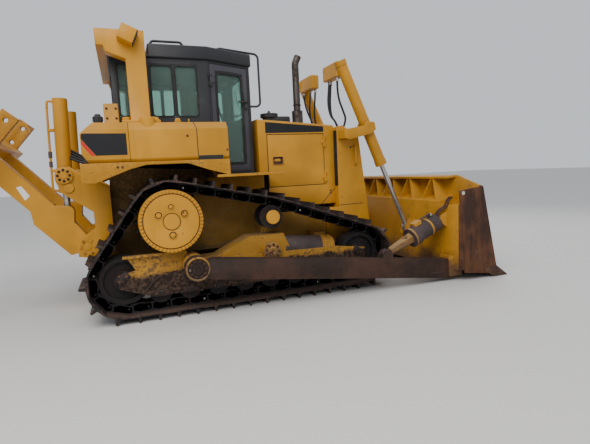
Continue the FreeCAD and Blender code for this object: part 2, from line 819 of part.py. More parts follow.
def on_hood(shape):
    """Cut the foot of a piece that stands on the hood to the hood's slope."""
    below = side_prism([(hood_rear_x, 0), (hood_rear_x, hood_rear_top + slip),
                        (hood_front_x, hood_front_top + slip), (hood_front_x, 0)],
                       -hood_half_width, hood_half_width)
    return shape.cut(below)


def engine_hinge(part):
    """The right door's hinges, part 0 on the hood and part 1 on the door."""
    hinges = []
    for z in (door_low_z + hinge_inset, door_high_z - hinge_inset):
        shape = hinge(40, 44)[part]
        shape.rotate(Vector(0, 0, 0), Vector(0, 0, 1), 180)
        shape = shape.mirror(Vector(0, 0, 0), Vector(0, 1, 0))
        shape.translate(Vector(door_front_x - seam / 2, -hood_half_width - hinge_offset, z))
        hinges.append(shape)
    return hinges


def hood():
    """Sheet enclosure, open below, in front and at both engine doors."""
    rear = hood_rear_x
    outer = side_prism([(rear, platform_top + slip), (door_rear_x, platform_top + slip),
                        (door_rear_x, hood_skirt_z + 60), (door_rear_x + 90, hood_skirt_z),
                        (hood_front_x, hood_skirt_z),
                        (hood_front_x, hood_front_top), (rear, hood_rear_top)],
                       -hood_half_width, hood_half_width)
    top_edges = [e for e in outer.Edges
                 if e.BoundBox.ZMin > hood_front_top - 1 and e.BoundBox.YLength < 1]
    outer = outer.makeFillet(hood_round, top_edges)
    half = hood_half_width - sheet
    below = hood_skirt_z - 10
    hollow = side_prism([(rear + sheet, below), (hood_front_x + 1, below),
                         (hood_front_x + 1, hood_front_top - sheet), (rear + sheet, hood_rear_top - sheet)],
                        -half, half)
    doorway = box(door_rear_x, door_front_x, -hood_half_width - 1, hood_half_width + 1, door_low_z, door_high_z)
    hinges = engine_hinge(0)
    shell = cut(outer, [hollow, doorway])
    return fuse([shell] + hinges + mirrored(hinges))


def engine_door():
    """Flat panel with turned edges and a recessed latch cup."""
    panel = box(door_rear_x + seam, door_front_x - seam, -hood_half_width, -hood_half_width + sheet,
                door_low_z + seam, door_high_z - seam)
    cup = box(latch_x - latch_length / 2, latch_x + latch_length / 2, -hood_half_width - 1,
              -hood_half_width + latch_depth, latch_z - latch_height / 2, latch_z + latch_height / 2)
    return fuse([panel.cut(cup)] + engine_hinge(1))


guard_waist = frame_nose_top + 20
guard_side = [(hood_front_x + slip, guard_waist), (hood_front_x + slip, guard_top - 20),
              (hood_front_x + 90, guard_top), (guard_face_high_x, guard_face_high_z),
              (guard_face_low_x, guard_face_low_z), (guard_chin_x, belly_z), (guard_chin_x - 50, guard_low),
              (frame_front_x + 130, guard_low), (frame_front_x + 20, belly_z),
              (frame_front_x + 20, guard_waist)]
face_low_x = guard_face_low_x - 3 - guard_recess
face_high_x = guard_face_high_x - guard_recess


def radiator_guard():
    """Front shell with its recessed grille opening and both cylinder yokes."""
    shell = side_prism(guard_side, -guard_half_width, guard_half_width)
    ahead = guard_chin_x + 50
    front = side_prism([(face_high_x, grille_high), (ahead, grille_high), (ahead, grille_low),
                        (face_low_x, grille_low)], -guard_half_width + grille_margin,
                       guard_half_width - grille_margin)
    shell = shell.cut(front)
    inner_face = lift_y - yoke_gap / 2
    outer_face = lift_y + yoke_gap / 2
    cheek_side = [(hood_front_x + 20, yoke_z - 132), (hood_front_x + 90, yoke_z - 152),
                  (yoke_x + 10, yoke_z - 82), (yoke_x + 78, yoke_z - 26), (yoke_x + 58, yoke_z + 72),
                  (yoke_x - 62, yoke_z + 84), (yoke_x - 90, yoke_z + 30), (hood_front_x + 105, yoke_z - 8),
                  (hood_front_x + 20, yoke_z - 18)]
    pieces = [shell]
    for side in (1, -1):
        for face in (inner_face - yoke_cheek, outer_face):
            y0, y1 = sorted((side * face, side * (face + yoke_cheek)))
            pin_hole = cross_pin(yoke_x, yoke_z, y0 - 1, y1 + 1, yoke_pin_radius)
            pieces.append(side_prism(cheek_side, y0, y1).cut(pin_hole))
        y0, y1 = sorted((side * (guard_half_width - 5), side * (outer_face + 5)))
        pieces.append(side_prism([(hood_front_x + 20, yoke_z - 132), (hood_front_x + 90, yoke_z - 152),
                                  (hood_front_x + 200, yoke_z - 134), (hood_front_x + 215, yoke_z + 6),
                                  (hood_front_x + 105, yoke_z - 8), (hood_front_x + 20, yoke_z - 18)], y0, y1))
    return fuse(pieces)


def grille():
    """Frame with level louvres, set in the guard's recess."""
    half = guard_half_width - grille_margin - slip
    lean = (face_high_x - face_low_x) / (grille_high - grille_low)
    pieces = []
    for y0, y1 in ((-half, -half + grille_bar), (half - grille_bar, half), (-grille_bar / 2, grille_bar / 2)):
        pieces.append(side_prism([(face_low_x + slip, grille_low + slip), (face_low_x + 40, grille_low + slip),
                                  (face_high_x + 40, grille_high - slip),
                                  (face_high_x + slip, grille_high - slip)], y0, y1))
    for i in range(louvre_count):
        z = grille_low + 12 + i * (grille_high - grille_low - 44) / (louvre_count - 1)
        x = face_low_x + lean * (z - grille_low)
        pieces.append(side_prism([(x + 4, z + 20), (x + 32, z), (x + 34, z + 8), (x + 6, z + 28)], -half, half))
    return fuse(pieces)


# Lift cylinders, drawn along their axis from the yoke to the eye on the blade

lift_direction = Vector(lift_eye_x - yoke_x, 0, lift_eye_z - yoke_z)
lift_reach = lift_direction.Length
lift_direction.normalize()


def at_yoke(distance, y):
    return Vector(yoke_x, y, yoke_z) + lift_direction * distance


def lift_barrel(y):
    barrel = rod_between(at_yoke(-lift_head, y), at_yoke(lift_gland, y), lift_barrel_radius)
    collar = rod_between(at_yoke(lift_gland - 70, y), at_yoke(lift_gland, y), lift_barrel_radius + 6)
    cap = rod_between(at_yoke(-lift_head - 12, y), at_yoke(-lift_head + 50, y), lift_barrel_radius + 7)
    ring = rod_between(at_yoke(-60, y), at_yoke(60, y), lift_barrel_radius + lift_ring)
    pin_reach = yoke_gap / 2 + yoke_cheek
    pin = cross_pin(yoke_x, yoke_z, y - pin_reach, y + pin_reach, yoke_pin_radius - slip)
    # Hose block that reaches inboard from the head
    end = at_yoke(-lift_head, y)
    side = math.copysign(1, y)
    y0, y1 = sorted((y - side * lift_block_reach, y - side * lift_barrel_radius / 2))
    block = box(end.x - lift_block_back, end.x - lift_block_back + lift_block_length, y0, y1,
                end.z + lift_block_rise - lift_block_height, end.z + lift_block_rise)
    block = block.makeChamfer(12, block.Edges)
    body = fuse([barrel, collar, cap, ring, pin, block])
    bore = rod_between(at_yoke(-lift_head + 60, y), at_yoke(lift_gland + 1, y), lift_rod_radius + 1)
    return body.cut(bore)


def lift_rod(y):
    rod = rod_between(at_yoke(lift_piston, y), at_yoke(lift_reach, y), lift_rod_radius)
    eye = cross_pin(lift_eye_x, lift_eye_z, y - lift_eye_width / 2, y + lift_eye_width / 2, lift_eye_radius)
    return fuse([rod, eye])


# Blade: centre section between the corners, wings raked forward, box beam behind

def skin_section(y, forward, top):
    """Curved plate section: the front face is one arc, the back face runs beside it."""
    low_front = Vector(skin_front_x + forward, y, skin_low)
    mid_front = Vector(skin_front_x - skin_hollow + forward, y, skin_mid_z)
    top_front = Vector(skin_front_x - skin_lean + forward, y, top)
    back = Vector(-blade_skin, 0, 0)
    edges = [Part.Arc(low_front, mid_front, top_front).toShape(),
             Part.LineSegment(top_front, top_front + back).toShape(),
             Part.Arc(top_front + back, mid_front + back, low_front + back).toShape(),
             Part.LineSegment(low_front + back, low_front).toShape()]
    return Part.Wire(edges)


def blade():
    centre = Part.makeLoft([skin_section(-blade_corner_y, 0, blade_top),
                            skin_section(blade_corner_y, 0, blade_top)], True, True)
    wing = Part.makeLoft([skin_section(blade_corner_y, 0, blade_top),
                          skin_section(blade_half_width, wing_forward, wing_top)], True, True)
    pieces = [centre] + both_sides(wing)
    # Box beam under the ledge
    skin_back_top = skin_front_x - skin_lean - 5
    skin_back_mid = skin_front_x - skin_hollow - blade_skin + 5
    beam = side_prism([(beam_back_x, beam_low), (beam_back_x, beam_top), (skin_back_top - 10, beam_top + 75),
                       (skin_back_mid, skin_mid_z + 60), (skin_front_x - 30, beam_low)],
                      -blade_corner_y + 60, blade_corner_y - 60)
    pieces.append(beam)
    flange_back = skin_back_top - flange_depth
    pieces.append(side_prism([(skin_back_top, blade_top - flange_thickness), (skin_back_top, blade_top),
                              (flange_back, blade_top - 12), (flange_back, blade_top - 12 - flange_thickness)],
                             -blade_corner_y + 20, blade_corner_y - 20))
    for y_low, y_high in rib_places:
        ends = []
        head_z = blade_top - flange_thickness - 2
        for y, x0, x1, z in ((y_low, beam_back_x + rib_foot_x, skin_back_top + 10, beam_top + 5),
                             (y_high, beam_back_x + rib_head_x, skin_back_top + 2, head_z)):
            corners = [(x0, y), (x1, y), (x1, y + rib_thickness), (x0, y + rib_thickness), (x0, y)]
            ends.append(Part.makePolygon([Vector(cx, cy, z) for cx, cy in corners]))
        pieces += both_sides(Part.makeLoft(ends, True, True))
    # Wing box and end plate
    wing_low_x = skin_front_x + wing_forward
    plate_back = beam_back_x + rib_foot_x
    side = side_prism([(plate_back, wing_top - 35), (wing_low_x - skin_lean - 3, wing_top + 3),
                       (wing_low_x + 8, skin_low), (wing_low_x - 102, skin_low),
                       (wing_low_x - 120, skin_low - 90), (plate_back + 80, skin_low - 40)],
                      blade_half_width - end_plate, blade_half_width)
    wing_back = plan_prism([(plate_back, blade_half_width - 10), (beam_back_x, blade_corner_y - 70),
                            (skin_back_mid + 5, blade_corner_y - 70),
                            (skin_back_mid + 80, blade_half_width - 10)], beam_low, beam_top - 35)
    pieces += both_sides(side) + both_sides(wing_back)
    # Lugs: the push arms' front pins and the lift cylinders' rod eyes
    for side in (1, -1):
        y0, y1 = sorted((side * (arm_inner_y - 20), side * (arm_outer_y + 20)))
        pieces.append(box(arm_front_x + slip, arm_front_x + 200, y0, y1, arm_front_low + 20,
                          arm_front_high + 40))
        for inner in (lift_y - lift_eye_width / 2 - slip - lift_lug, lift_y + lift_eye_width / 2 + slip):
            y0, y1 = sorted((side * inner, side * (inner + lift_lug)))
            pieces.append(side_prism([(lift_eye_x - 70, lift_eye_z - 80), (beam_back_x + 15, lift_eye_z - 140),
                                      (beam_back_x + 15, lift_eye_z + 120), (lift_eye_x - 20, lift_eye_z + 80)],
                                     y0, y1))
        for inner in (tilt_end_y - tilt_eye_half - slip - tilt_lug, tilt_end_y + tilt_eye_half + slip):
            y0, y1 = sorted((side * inner, side * (inner + tilt_lug)))
            pieces.append(side_prism([(tilt_end_x - 45, tilt_end_z - 10), (plate_back, tilt_end_z - 110),
                                      (plate_back, tilt_end_z + 130), (tilt_end_x - 20, tilt_end_z + 62)],
                                     y0, y1))
        y0, y1 = sorted((side * (tilt_end_y - 65), side * (tilt_end_y + 65)))
        pieces.append(cross_pin(tilt_end_x, tilt_end_z, y0, y1, tilt_pin_radius))
    return fuse(pieces)


def edge_plate(x_back, y0, y1, forward0, forward1):
    """Cutting edge strip under the skin from y0 to y1."""
    tip_x = skin_front_x + edge_reach
    ends = []
    for y, forward in ((y0, forward0), (y1, forward1)):
        ends.append(Part.makePolygon([Vector(x + forward, y, z) for x, z in
                                      ((x_back, skin_low - slip), (x_back + edge_thickness, skin_low - slip),
                                       (tip_x, edge_clear + 14), (tip_x, edge_clear), (tip_x - 57, edge_clear),
                                       (x_back, skin_low - slip))]))
    return Part.makeLoft(ends, True, True)


def cutting_edge():
    x_back = skin_front_x - blade_skin
    centre = edge_plate(x_back, -blade_corner_y, blade_corner_y, 0, 0)
    end = edge_plate(x_back, blade_corner_y, blade_half_width - end_plate - slip, 0, wing_forward * 0.9)
    corner = skin_front_x + wing_forward
    tip = side_prism([(corner - 99, skin_low - slip), (corner + 12, skin_low - slip),
                      (corner + tip_reach, edge_clear), (corner - 40, edge_clear),
                      (corner - 118, skin_low - 90)],
                     blade_half_width - end_plate - slip, blade_half_width)
    return fuse([centre] + both_sides(end) + both_sides(tip))


def arm_z(x, share):
    """Height in the push arm at x, from share 0 on its underside to 1 on its top."""
    along_arm = (x - arm_rear_x) / (arm_front_x - arm_rear_x)
    low = arm_rear_low + (arm_front_low - arm_rear_low) * along_arm
    high = arm_rear_high + (arm_front_high - arm_rear_high) * along_arm
    return low + (high - low) * share


tilt_start_z = arm_z(tilt_start_x, 1) + tilt_start_rise


def push_arm():
    beam = side_prism([(arm_rear_x - 60, arm_z(arm_rear_x, 0.12)), (arm_rear_x + 60, arm_z(arm_rear_x, 0)),
                       (arm_front_x, arm_z(arm_front_x, 0)), (arm_front_x, arm_z(arm_front_x, 1)),
                       (arm_rear_x + 60, arm_z(arm_rear_x + 60, 1)), (arm_rear_x - 60, arm_z(arm_rear_x, 0.9))],
                      arm_inner_y, arm_outer_y)
    socket = cross_pin(trunnion_x, trunnion_z, arm_inner_y, arm_outer_y - arm_socket_inset, arm_socket_radius)
    ball = cross_pin(trunnion_x, trunnion_z, arm_inner_y - 1, arm_outer_y - trunnion_cover + slip,
                     trunnion_radius + slip)
    pieces = [beam, socket]
    eye_side = tilt_eye_half + slip
    for y0 in (tilt_start_y - eye_side - tilt_cheek, tilt_start_y + eye_side):
        pieces.append(side_prism([(tilt_start_x - 110, arm_z(tilt_start_x - 110, 0.9)),
                                  (tilt_start_x - 40, tilt_start_z + 45),
                                  (tilt_start_x + 30, tilt_start_z + 50), (tilt_start_x + 55, tilt_start_z),
                                  (tilt_start_x + 55, arm_z(tilt_start_x + 55, 0.9))], y0, y0 + tilt_cheek))
    pieces.append(cross_pin(tilt_start_x, tilt_start_z, tilt_start_y - eye_side - tilt_cheek,
                            tilt_start_y + eye_side + tilt_cheek, tilt_pin_radius))
    return fuse(pieces).cut(ball)


def tilt_axis():
    """Line of the right side's tilt cylinder, from the push arm up to the blade."""
    return Vector(tilt_start_x, -tilt_start_y, tilt_start_z), Vector(tilt_end_x, -tilt_end_y, tilt_end_z)


def tilt_eye(centre, half, radius):
    eye = cross_pin(centre.x, centre.z, centre.y - half, centre.y + half, radius)
    return eye, cross_pin(centre.x, centre.z, centre.y - half - 1, centre.y + half + 1, tilt_pin_radius + slip)


def tilt_link(sections):
    """Eyes at both ends of the line, joined by round sections: start and end along it, radius."""
    start, end = tilt_axis()
    axis = (end - start).normalize()
    low_eye, low_bore = tilt_eye(start, tilt_eye_half, tilt_low_eye_radius)
    high_eye, high_bore = tilt_eye(end, tilt_eye_half, tilt_high_eye_radius)
    pieces = [low_eye, high_eye]
    for first, last, radius in sections:
        pieces.append(rod_between(start + axis * first, start + axis * last, radius))
    return cut(fuse(pieces), [low_bore, high_bore])


def tilt_cylinder():
    length = (tilt_axis()[1] - tilt_axis()[0]).Length
    return tilt_link([(tilt_eye_root, tilt_gland + 40, tilt_rod_radius),
                      (tilt_gland - 20, tilt_gland + 90, tilt_radius + tilt_collar),
                      (tilt_gland, length - tilt_eye_neck, tilt_radius)])


def tilt_brace():
    length = (tilt_axis()[1] - tilt_axis()[0]).Length
    link = tilt_link([(tilt_eye_root, length - tilt_eye_neck, tilt_rod_radius),
                      (brace_start, length - brace_stop, brace_radius)])
    return mirrored([link])[0]


# Fenders, tanks and platform

def fender():
    """Outer skirt, top plate, step down to the platform and the inner wall by the case."""
    outer = fender_outer_y
    inner = frame_half_width + slip
    wall = fender_skirt
    lower_edge = [(fender_rear_x + x, fender_top - drop) for x, drop in fender_edge]
    skirt = side_prism([(fender_rear_x, fender_top)] + lower_edge +
                       [(fender_step_x, platform_top - 10), (platform_front_x - 60, platform_top - plate),
                        (platform_front_x, platform_top - 12), (platform_front_x, platform_top),
                        (fender_step_x, platform_top), (fender_step_x, fender_top)], outer - wall, outer)
    top = box(fender_rear_x, well_front_x, inner, outer, fender_top - plate, fender_top)
    # Ahead of the well the floor drops inside the tank, where the cab door swings
    low = platform_top - plate
    front_top = box(well_front_x - 1, fender_step_x, tank_inner_y, outer, fender_top - plate, fender_top)
    risers = [box(fender_step_x - wall, fender_step_x, tank_inner_y, outer, low, fender_top),
              box(well_front_x - 1, fender_step_x, tank_inner_y, tank_inner_y + wall, low, fender_top),
              box(well_front_x - wall, well_front_x, inner, tank_inner_y + wall, low, fender_top)]
    step = box(well_front_x - wall, platform_front_x, inner, outer, platform_top - plate, platform_top)
    case_side = side_prism([(frame_rear_x, fender_top - 1), (frame_rear_x, platform_top - 200),
                            (frame_rear_x + 200, platform_top - 260), (well_front_x, platform_top - 230),
                            (platform_front_x - 40, platform_top - 200), (platform_front_x - 40, platform_top),
                            (well_front_x, platform_top), (well_front_x, fender_top - 1)], inner, inner + wall)
    hub_hole = cross_pin(sprocket_x, sprocket_z, 0, inner + 2 * wall, hub_radius - 18)
    return fuse([skirt, top, front_top, step, case_side] + risers).cut(hub_hole)


def tank_section(x0, x1):
    """Side tank with its bevelled top edge, from x0 to x1."""
    wire = Part.makePolygon([Vector(x0, y, z) for y, z in
                             ((tank_inner_y, fender_top + slip), (tank_outer_y - tank_lip, fender_top + slip),
                              (tank_outer_y, fender_top + tank_lip + 5), (tank_outer_y, tank_top - tank_bevel),
                              (tank_outer_y - tank_bevel, tank_top), (tank_inner_y, tank_top),
                              (tank_inner_y, fender_top + slip))])
    return Part.Face(wire).extrude(Vector(x1 - x0, 0, 0))


def fuel_tank():
    """Tank across the rear, with both decal ends; its rear edges are bevelled."""
    ends = both_sides(tank_section(tank_rear_x, tank_seam_x - tank_seam))
    middle = box(tank_middle_x, cab_rear_x - 40, -tank_inner_y, tank_inner_y, fender_top + slip, tank_top)
    whole = fuse(ends + [middle])
    behind = tank_rear_x - 5
    foot = fender_top - 10
    reach = tank_outer_y + 10
    top_cut = side_prism([(behind, tank_top - tank_rear_high), (behind, tank_top + 5),
                          (tank_rear_x + tank_rear_high + 5, tank_top + 5),
                          (tank_rear_x + tank_rear_high, tank_top)], -reach, reach)
    low_cut = side_prism([(behind, foot), (tank_rear_x + 0.7 * tank_rear_low, foot),
                          (behind, fender_top + tank_rear_low)], -reach, reach)
    foot = Vector(filler_x, -tank_inner_y - filler_y, tank_top)
    cap = Part.makeCylinder(filler_radius, filler_height, foot)
    knob = Part.makeCylinder(filler_knob_radius, filler_height + filler_knob_height, foot)
    box_y = -tank_inner_y - tank_box_y
    case = box(tank_box_rear_x, tank_box_rear_x + tank_box_length, box_y - tank_box_width, box_y,
               tank_top - 1, tank_top + tank_box_height)
    upright = [e for e in case.Edges if e.BoundBox.ZLength > 1]
    case = case.makeFillet(12, upright)
    return fuse([cut(whole, [top_cut, low_cut]), cap, knob, case])


def side_tank():
    body = tank_section(tank_seam_x, tank_front_x)
    corner = plan_prism([(tank_front_x - tank_corner, tank_inner_y - 5), (tank_front_x + 5, tank_inner_y - 5),
                         (tank_front_x + 5, tank_inner_y + tank_corner_y)], fender_top - 10, tank_top + 10)
    return body.cut(corner)


# Cab

cab_plan = [(cab_rear_x, -cab_half_width), (cab_pillar_x, -cab_half_width),
            (cab_front_x, -cab_nose_half_width), (cab_front_x, cab_nose_half_width),
            (cab_pillar_x, cab_half_width), (cab_rear_x, cab_half_width)]
door_turn = math.degrees(math.atan2(cab_half_width - cab_nose_half_width, cab_front_x - cab_pillar_x))
door_run = math.hypot(cab_half_width - cab_nose_half_width, cab_front_x - cab_pillar_x)
door_end = door_run - door_stop


def plan_inset(points, inset):
    """The cab's plan with every wall moved inwards."""
    moved = []
    count = len(points)
    for i in range(count):
        before = Vector(*points[i - 1], 0)
        here = Vector(*points[i], 0)
        after = Vector(*points[(i + 1) % count], 0)
        first = (here - before).normalize()
        second = (after - here).normalize()
        normal_1 = Vector(-first.y, first.x, 0)
        normal_2 = Vector(-second.y, second.x, 0)
        middle = (normal_1 + normal_2).normalize()
        corner = here + middle * (inset / middle.dot(normal_1))
        moved.append((corner.x, corner.y))
    return moved


def door_wall_box(u0, u1, depth0, depth1, z0, z1):
    """Box in the right door wall: u along the wall from the pillar, depth inwards."""
    shape = box(u0, u1, depth0, depth1, z0, z1)
    shape.rotate(Vector(0, 0, 0), Vector(0, 0, 1), door_turn)
    shape.translate(Vector(cab_pillar_x, -cab_half_width, 0))
    return shape


def cab_hinge(part):
    """The right door's hinges, part 0 on the pillar and part 1 on the door."""
    hinges = []
    for z in (cab_door_low + cab_hinge_low, cab_door_high - cab_hinge_high):
        shape = hinge(30, 60)[part]
        shape.translate(Vector(door_start + seam / 2, -hinge_offset, z))
        shape.rotate(Vector(0, 0, 0), Vector(0, 0, 1), door_turn)
        shape.translate(Vector(cab_pillar_x, -cab_half_width, 0))
        hinges.append(shape)
    return hinges


pane_1 = cab_rear_x + rear_pane_start
pane_2 = pane_1 + rear_pane_length + post_mullion
pane_3 = pane_2 + sliding_pane_length + pane_mullion
# Fixed windows in a side wall: x from, x to
side_windows = [(pane_1, pane_1 + rear_pane_length), (pane_2, pane_2 + sliding_pane_length),
                (pane_3, cab_pillar_x - pillar_width)]
# Windows across the cab: wall's x, direction into the cab, half width, z from, z to
cross_windows = [(cab_front_x, -1, cab_nose_half_width - front_window_inset, hood_rear_top + front_window_sill,
                  cab_wall_top - front_window_drop),
                 (cab_rear_x, 1, cab_half_width - rear_window_inset, tank_top + rear_window_sill,
                  cab_wall_top - window_drop)]


def window_boxes(grow, depth):
    """Openings of all fixed windows; grow is negative for the panes."""
    middle = cab_wall / 2
    low = tank_top + side_window_sill
    high = cab_wall_top - window_drop
    boxes = []
    for x0, x1 in side_windows:
        right = box(x0 - grow, x1 + grow, -cab_half_width + middle - depth, -cab_half_width + middle + depth,
                    low - grow, high + grow)
        boxes += both_sides(right)
    for wall_x, inward, half, z0, z1 in cross_windows:
        x = wall_x + inward * middle
        boxes.append(box(x - depth, x + depth, -half - grow, half + grow, z0 - grow, z1 + grow))
    return boxes


def cab_frame():
    """Floor, walls and pillars in one shell, with its windows and doorways cut."""
    low = platform_top + slip
    shell = plan_prism(cab_plan, low, cab_wall_top)
    room = plan_prism(plan_inset(cab_plan, cab_wall), low + cab_wall, cab_wall_top + 1)
    shell = shell.cut(room)
    # The cab sits between the fenders, whose tops carry its side walls
    raised = fender_top + slip
    bench = []
    for side in (1, -1):
        y0, y1 = sorted((side * frame_half_width, side * (cab_half_width + cab_tank_gap)))
        shell = shell.cut(box(cab_rear_x - 1, well_front_x + slip, y0, y1, low - 1, raised))
        y0, y1 = sorted((side * (frame_half_width - bench_lip), side * (cab_half_width - 1)))
        bench.append(box(cab_rear_x + 1, well_front_x + 20, y0, y1, raised, raised + cab_wall))
        y0, y1 = sorted((side * (frame_half_width - bench_lip), side * frame_half_width))
        bench.append(box(cab_rear_x + 1, well_front_x + 20, y0, y1, low, raised + cab_wall))
        y0, y1 = sorted((side * (frame_half_width - bench_lip), side * (cab_half_width - 20)))
        bench.append(box(well_front_x + 2 * slip, well_front_x + 20, y0, y1, low, raised + cab_wall))
    hinges = cab_hinge(0)
    shell = fuse([shell] + bench)
    doorway = door_wall_box(door_start, door_end, -5, cab_wall + 5, cab_door_low, cab_door_high)
    shell = cut(shell, window_boxes(0, cab_wall) + both_sides(doorway))
    return fuse([shell] + hinges + mirrored(hinges))


def cab_windows():
    return window_boxes(-slip, glass / 2)


def cab_roof():
    """Raised roof in front of the rollover head, with a thin plate under the head."""
    roof = plan_prism(plan_inset(cab_plan, -roof_lip), cab_wall_top + slip, roof_top)
    under_head = box(cab_rear_x - 100, post_front_x + 40, -post_outer_y, post_outer_y,
                     head_low_z - roof_under_head, roof_top + 1)
    return roof.cut(under_head)


def cab_door():
    """Angled door: frame with one tall window, hinged at its rear edge."""
    leaf = door_wall_box(door_start + seam, door_end - seam, 0, cab_wall, cab_door_low + seam,
                         cab_door_high - seam)
    window = door_wall_box(door_start + seam + cab_door_frame, door_end - seam - cab_door_frame, -5,
                           cab_wall + 5, cab_door_low + cab_door_sill, cab_door_high - cab_door_head)
    grip = cab_door_low + door_handle_z
    handle = door_wall_box(door_end - 60, door_end - 38, -door_handle_proud, 1, grip - door_handle_length / 2,
                           grip + door_handle_length / 2)
    return fuse([leaf.cut(window), handle] + cab_hinge(1))


def cab_door_glass():
    middle = cab_wall / 2
    return door_wall_box(door_start + seam + cab_door_frame + slip, door_end - seam - cab_door_frame - slip,
                         middle - glass / 2, middle + glass / 2, cab_door_low + cab_door_sill + slip,
                         cab_door_high - cab_door_head - slip)


def seat():
    floor = platform_top + slip + cab_wall
    top = floor + seat_height
    base = box(seat_base_x, seat_base_x + seat_base_length, -seat_base_half, seat_base_half, floor + slip, top)
    cushion = box(seat_rear_x + 150, seat_front_x, -seat_half_width, seat_half_width, top, top + seat_cushion)
    high = floor + seat_back_height
    back = side_prism([(seat_rear_x + 40, top + 100), (seat_rear_x + 150, top),
                       (seat_rear_x + 170, top + seat_cushion), (seat_rear_x + seat_back_depth, high),
                       (seat_rear_x, high - 20)], -seat_half_width + 10, seat_half_width - 10)
    return fuse([base, cushion, back])


def console():
    floor = platform_top + slip + cab_wall + slip
    front = dash_x + dash_depth
    return side_prism([(dash_x + 40, floor), (front - 50, floor), (front, floor + dash_height - 80),
                       (dash_x + 60, floor + dash_height), (dash_x, floor + dash_height - 120)],
                      -dash_half_width, dash_half_width)


# Rollover frame, lights, rails and exhaust

def rollover_frame():
    pieces = []
    foot = box(post_rear_x - 90, post_front_x + 100, post_inner_y - 15, post_outer_y + 40, tank_top + slip,
               tank_top + post_foot)
    post = box(post_rear_x, post_front_x, post_inner_y, post_outer_y, tank_top + 20, head_top_z)
    head_front = post_front_x - head_overlap
    gusset = side_prism([(post_rear_x + 10, head_low_z - 130), (head_front, head_low_z - 60),
                         (head_front, head_low_z + 40), (head_rear_x + 60, head_low_z + 40),
                         (head_rear_x + 90, head_low_z - 60)], post_inner_y, post_outer_y)
    pieces += both_sides(foot) + both_sides(post) + both_sides(gusset)
    pieces.append(box(head_rear_x, head_front, -post_outer_y, post_outer_y, head_low_z, head_top_z))
    return fuse(pieces)


def work_lights():
    """Square lamp housings, turned on the ends of the rollover head."""
    lamp = box(-lamp_half_length, lamp_half_length, -lamp_half, lamp_half, -lamp_half, lamp_half)
    lamp.rotate(Vector(0, 0, 0), Vector(0, 1, 0), lamp_turn)
    lamp.translate(Vector(lamp_x, -post_outer_y - lamp_half - slip, head_top_z - lamp_half))
    return both_sides(lamp)


def grab_rails():
    foot = roof_top + slip
    high = roof_top + rail_height
    roof_rail = bent_tube([Vector(rail_rear_x, -rail_y, foot), Vector(rail_rear_x, -rail_y, high),
                           Vector(rail_front_x, -rail_y, high), Vector(rail_front_x, -rail_y, foot)],
                          rail_radius, rail_bend)
    front_x = cab_front_x + front_rail_reach
    front_z = roof_top - front_rail_drop
    front_rail = bent_tube([Vector(front_rail_rear_x, -front_rail_y, foot),
                            Vector(front_rail_rear_x, -front_rail_y, roof_top + front_rail_high),
                            Vector(front_x, -front_rail_y, roof_top + front_rail_low),
                            Vector(front_x, -front_rail_y, front_z),
                            Vector(cab_front_x + slip, -front_rail_y, front_z)], rail_radius, front_rail_bend)
    return both_sides(roof_rail) + both_sides(front_rail)


def exhaust():
    foot = hood_front_top - 100
    base = Part.makeCylinder(exhaust_base_radius, exhaust_base_top - foot, Vector(exhaust_x, exhaust_y, foot))
    bend = Vector(exhaust_x, exhaust_y, exhaust_bend_z)
    mouth = Vector(exhaust_x + exhaust_lean, exhaust_y, exhaust_top)
    pipe = bent_tube([Vector(exhaust_x, exhaust_y, exhaust_base_top - 40), bend, mouth], exhaust_radius,
                     exhaust_bend)
    outward = (mouth - bend).normalize()
    bore = rod_between(mouth - outward * exhaust_open, mouth + outward, exhaust_bore)
    return fuse([on_hood(base), pipe]).cut(bore)


def air_intake():
    foot = hood_front_top - 100
    neck = Part.makeCylinder(intake_neck_radius, intake_cap_z - foot + 1, Vector(intake_x, exhaust_y, foot))
    cap = Part.makeCylinder(intake_cap_radius, intake_cap_height, Vector(intake_x, exhaust_y, intake_cap_z))
    return fuse([on_hood(neck), cap])


# Ripper: arms, tool beam and shanks turn about the low pins of the rear bracket

def ripper_bracket():
    arm_half = ripper_arm_width / 2
    inner = ripper_mast_y - arm_half - slip - cheek
    outer = ripper_mast_y + arm_half + slip
    waist_x = frame_rear_x - 190
    outline = [(frame_rear_x - slip, bracket_high), (ripper_pin_x + 60, ripper_pin_z + 95),
               (ripper_pin_x - 70, ripper_pin_z + 80), (ripper_pin_x - 95, ripper_pin_z - 30),
               (ripper_pin_x - 50, ripper_pin_z - 180), (waist_x, ripper_pivot_z + 390),
               (waist_x, ripper_pivot_z + 210), (ripper_pivot_x - 110, ripper_pivot_z + 60),
               (ripper_pivot_x - 100, ripper_pivot_z - 100), (ripper_pivot_x + 40, ripper_pivot_z - 130),
               (frame_rear_x - slip, bracket_low)]
    pieces = []
    for side in (1, -1):
        for face in (inner, outer):
            y0, y1 = sorted((side * face, side * (face + cheek)))
            cheek_plate = side_prism(outline, y0, y1)
            pieces.append(cut(cheek_plate, [
                cross_pin(ripper_pin_x, ripper_pin_z, y0 - 1, y1 + 1, ripper_pin_radius),
                cross_pin(ripper_pivot_x, ripper_pivot_z, y0 - 1, y1 + 1, ripper_foot_radius)]))
        y0, y1 = sorted((side * (outer + cheek), side * (outer + cheek + pin_cap_depth)))
        pieces.append(cross_pin(ripper_pin_x, ripper_pin_z, y0, y1, pin_cap_radius))
    half = outer + cheek
    pieces.append(box(frame_rear_x - bracket_back, frame_rear_x - slip, -half, half, bracket_low, bracket_high))
    return fuse(pieces)


def arm_local(points, y0, y1):
    """Prism of (along the arm, across it) points, turned to the stored angle."""
    shape = side_prism(points, y0, y1)
    shape.rotate(Vector(0, 0, 0), Vector(0, 1, 0), -ripper_arm_angle)
    shape.translate(Vector(ripper_pivot_x, 0, ripper_pivot_z))
    return shape


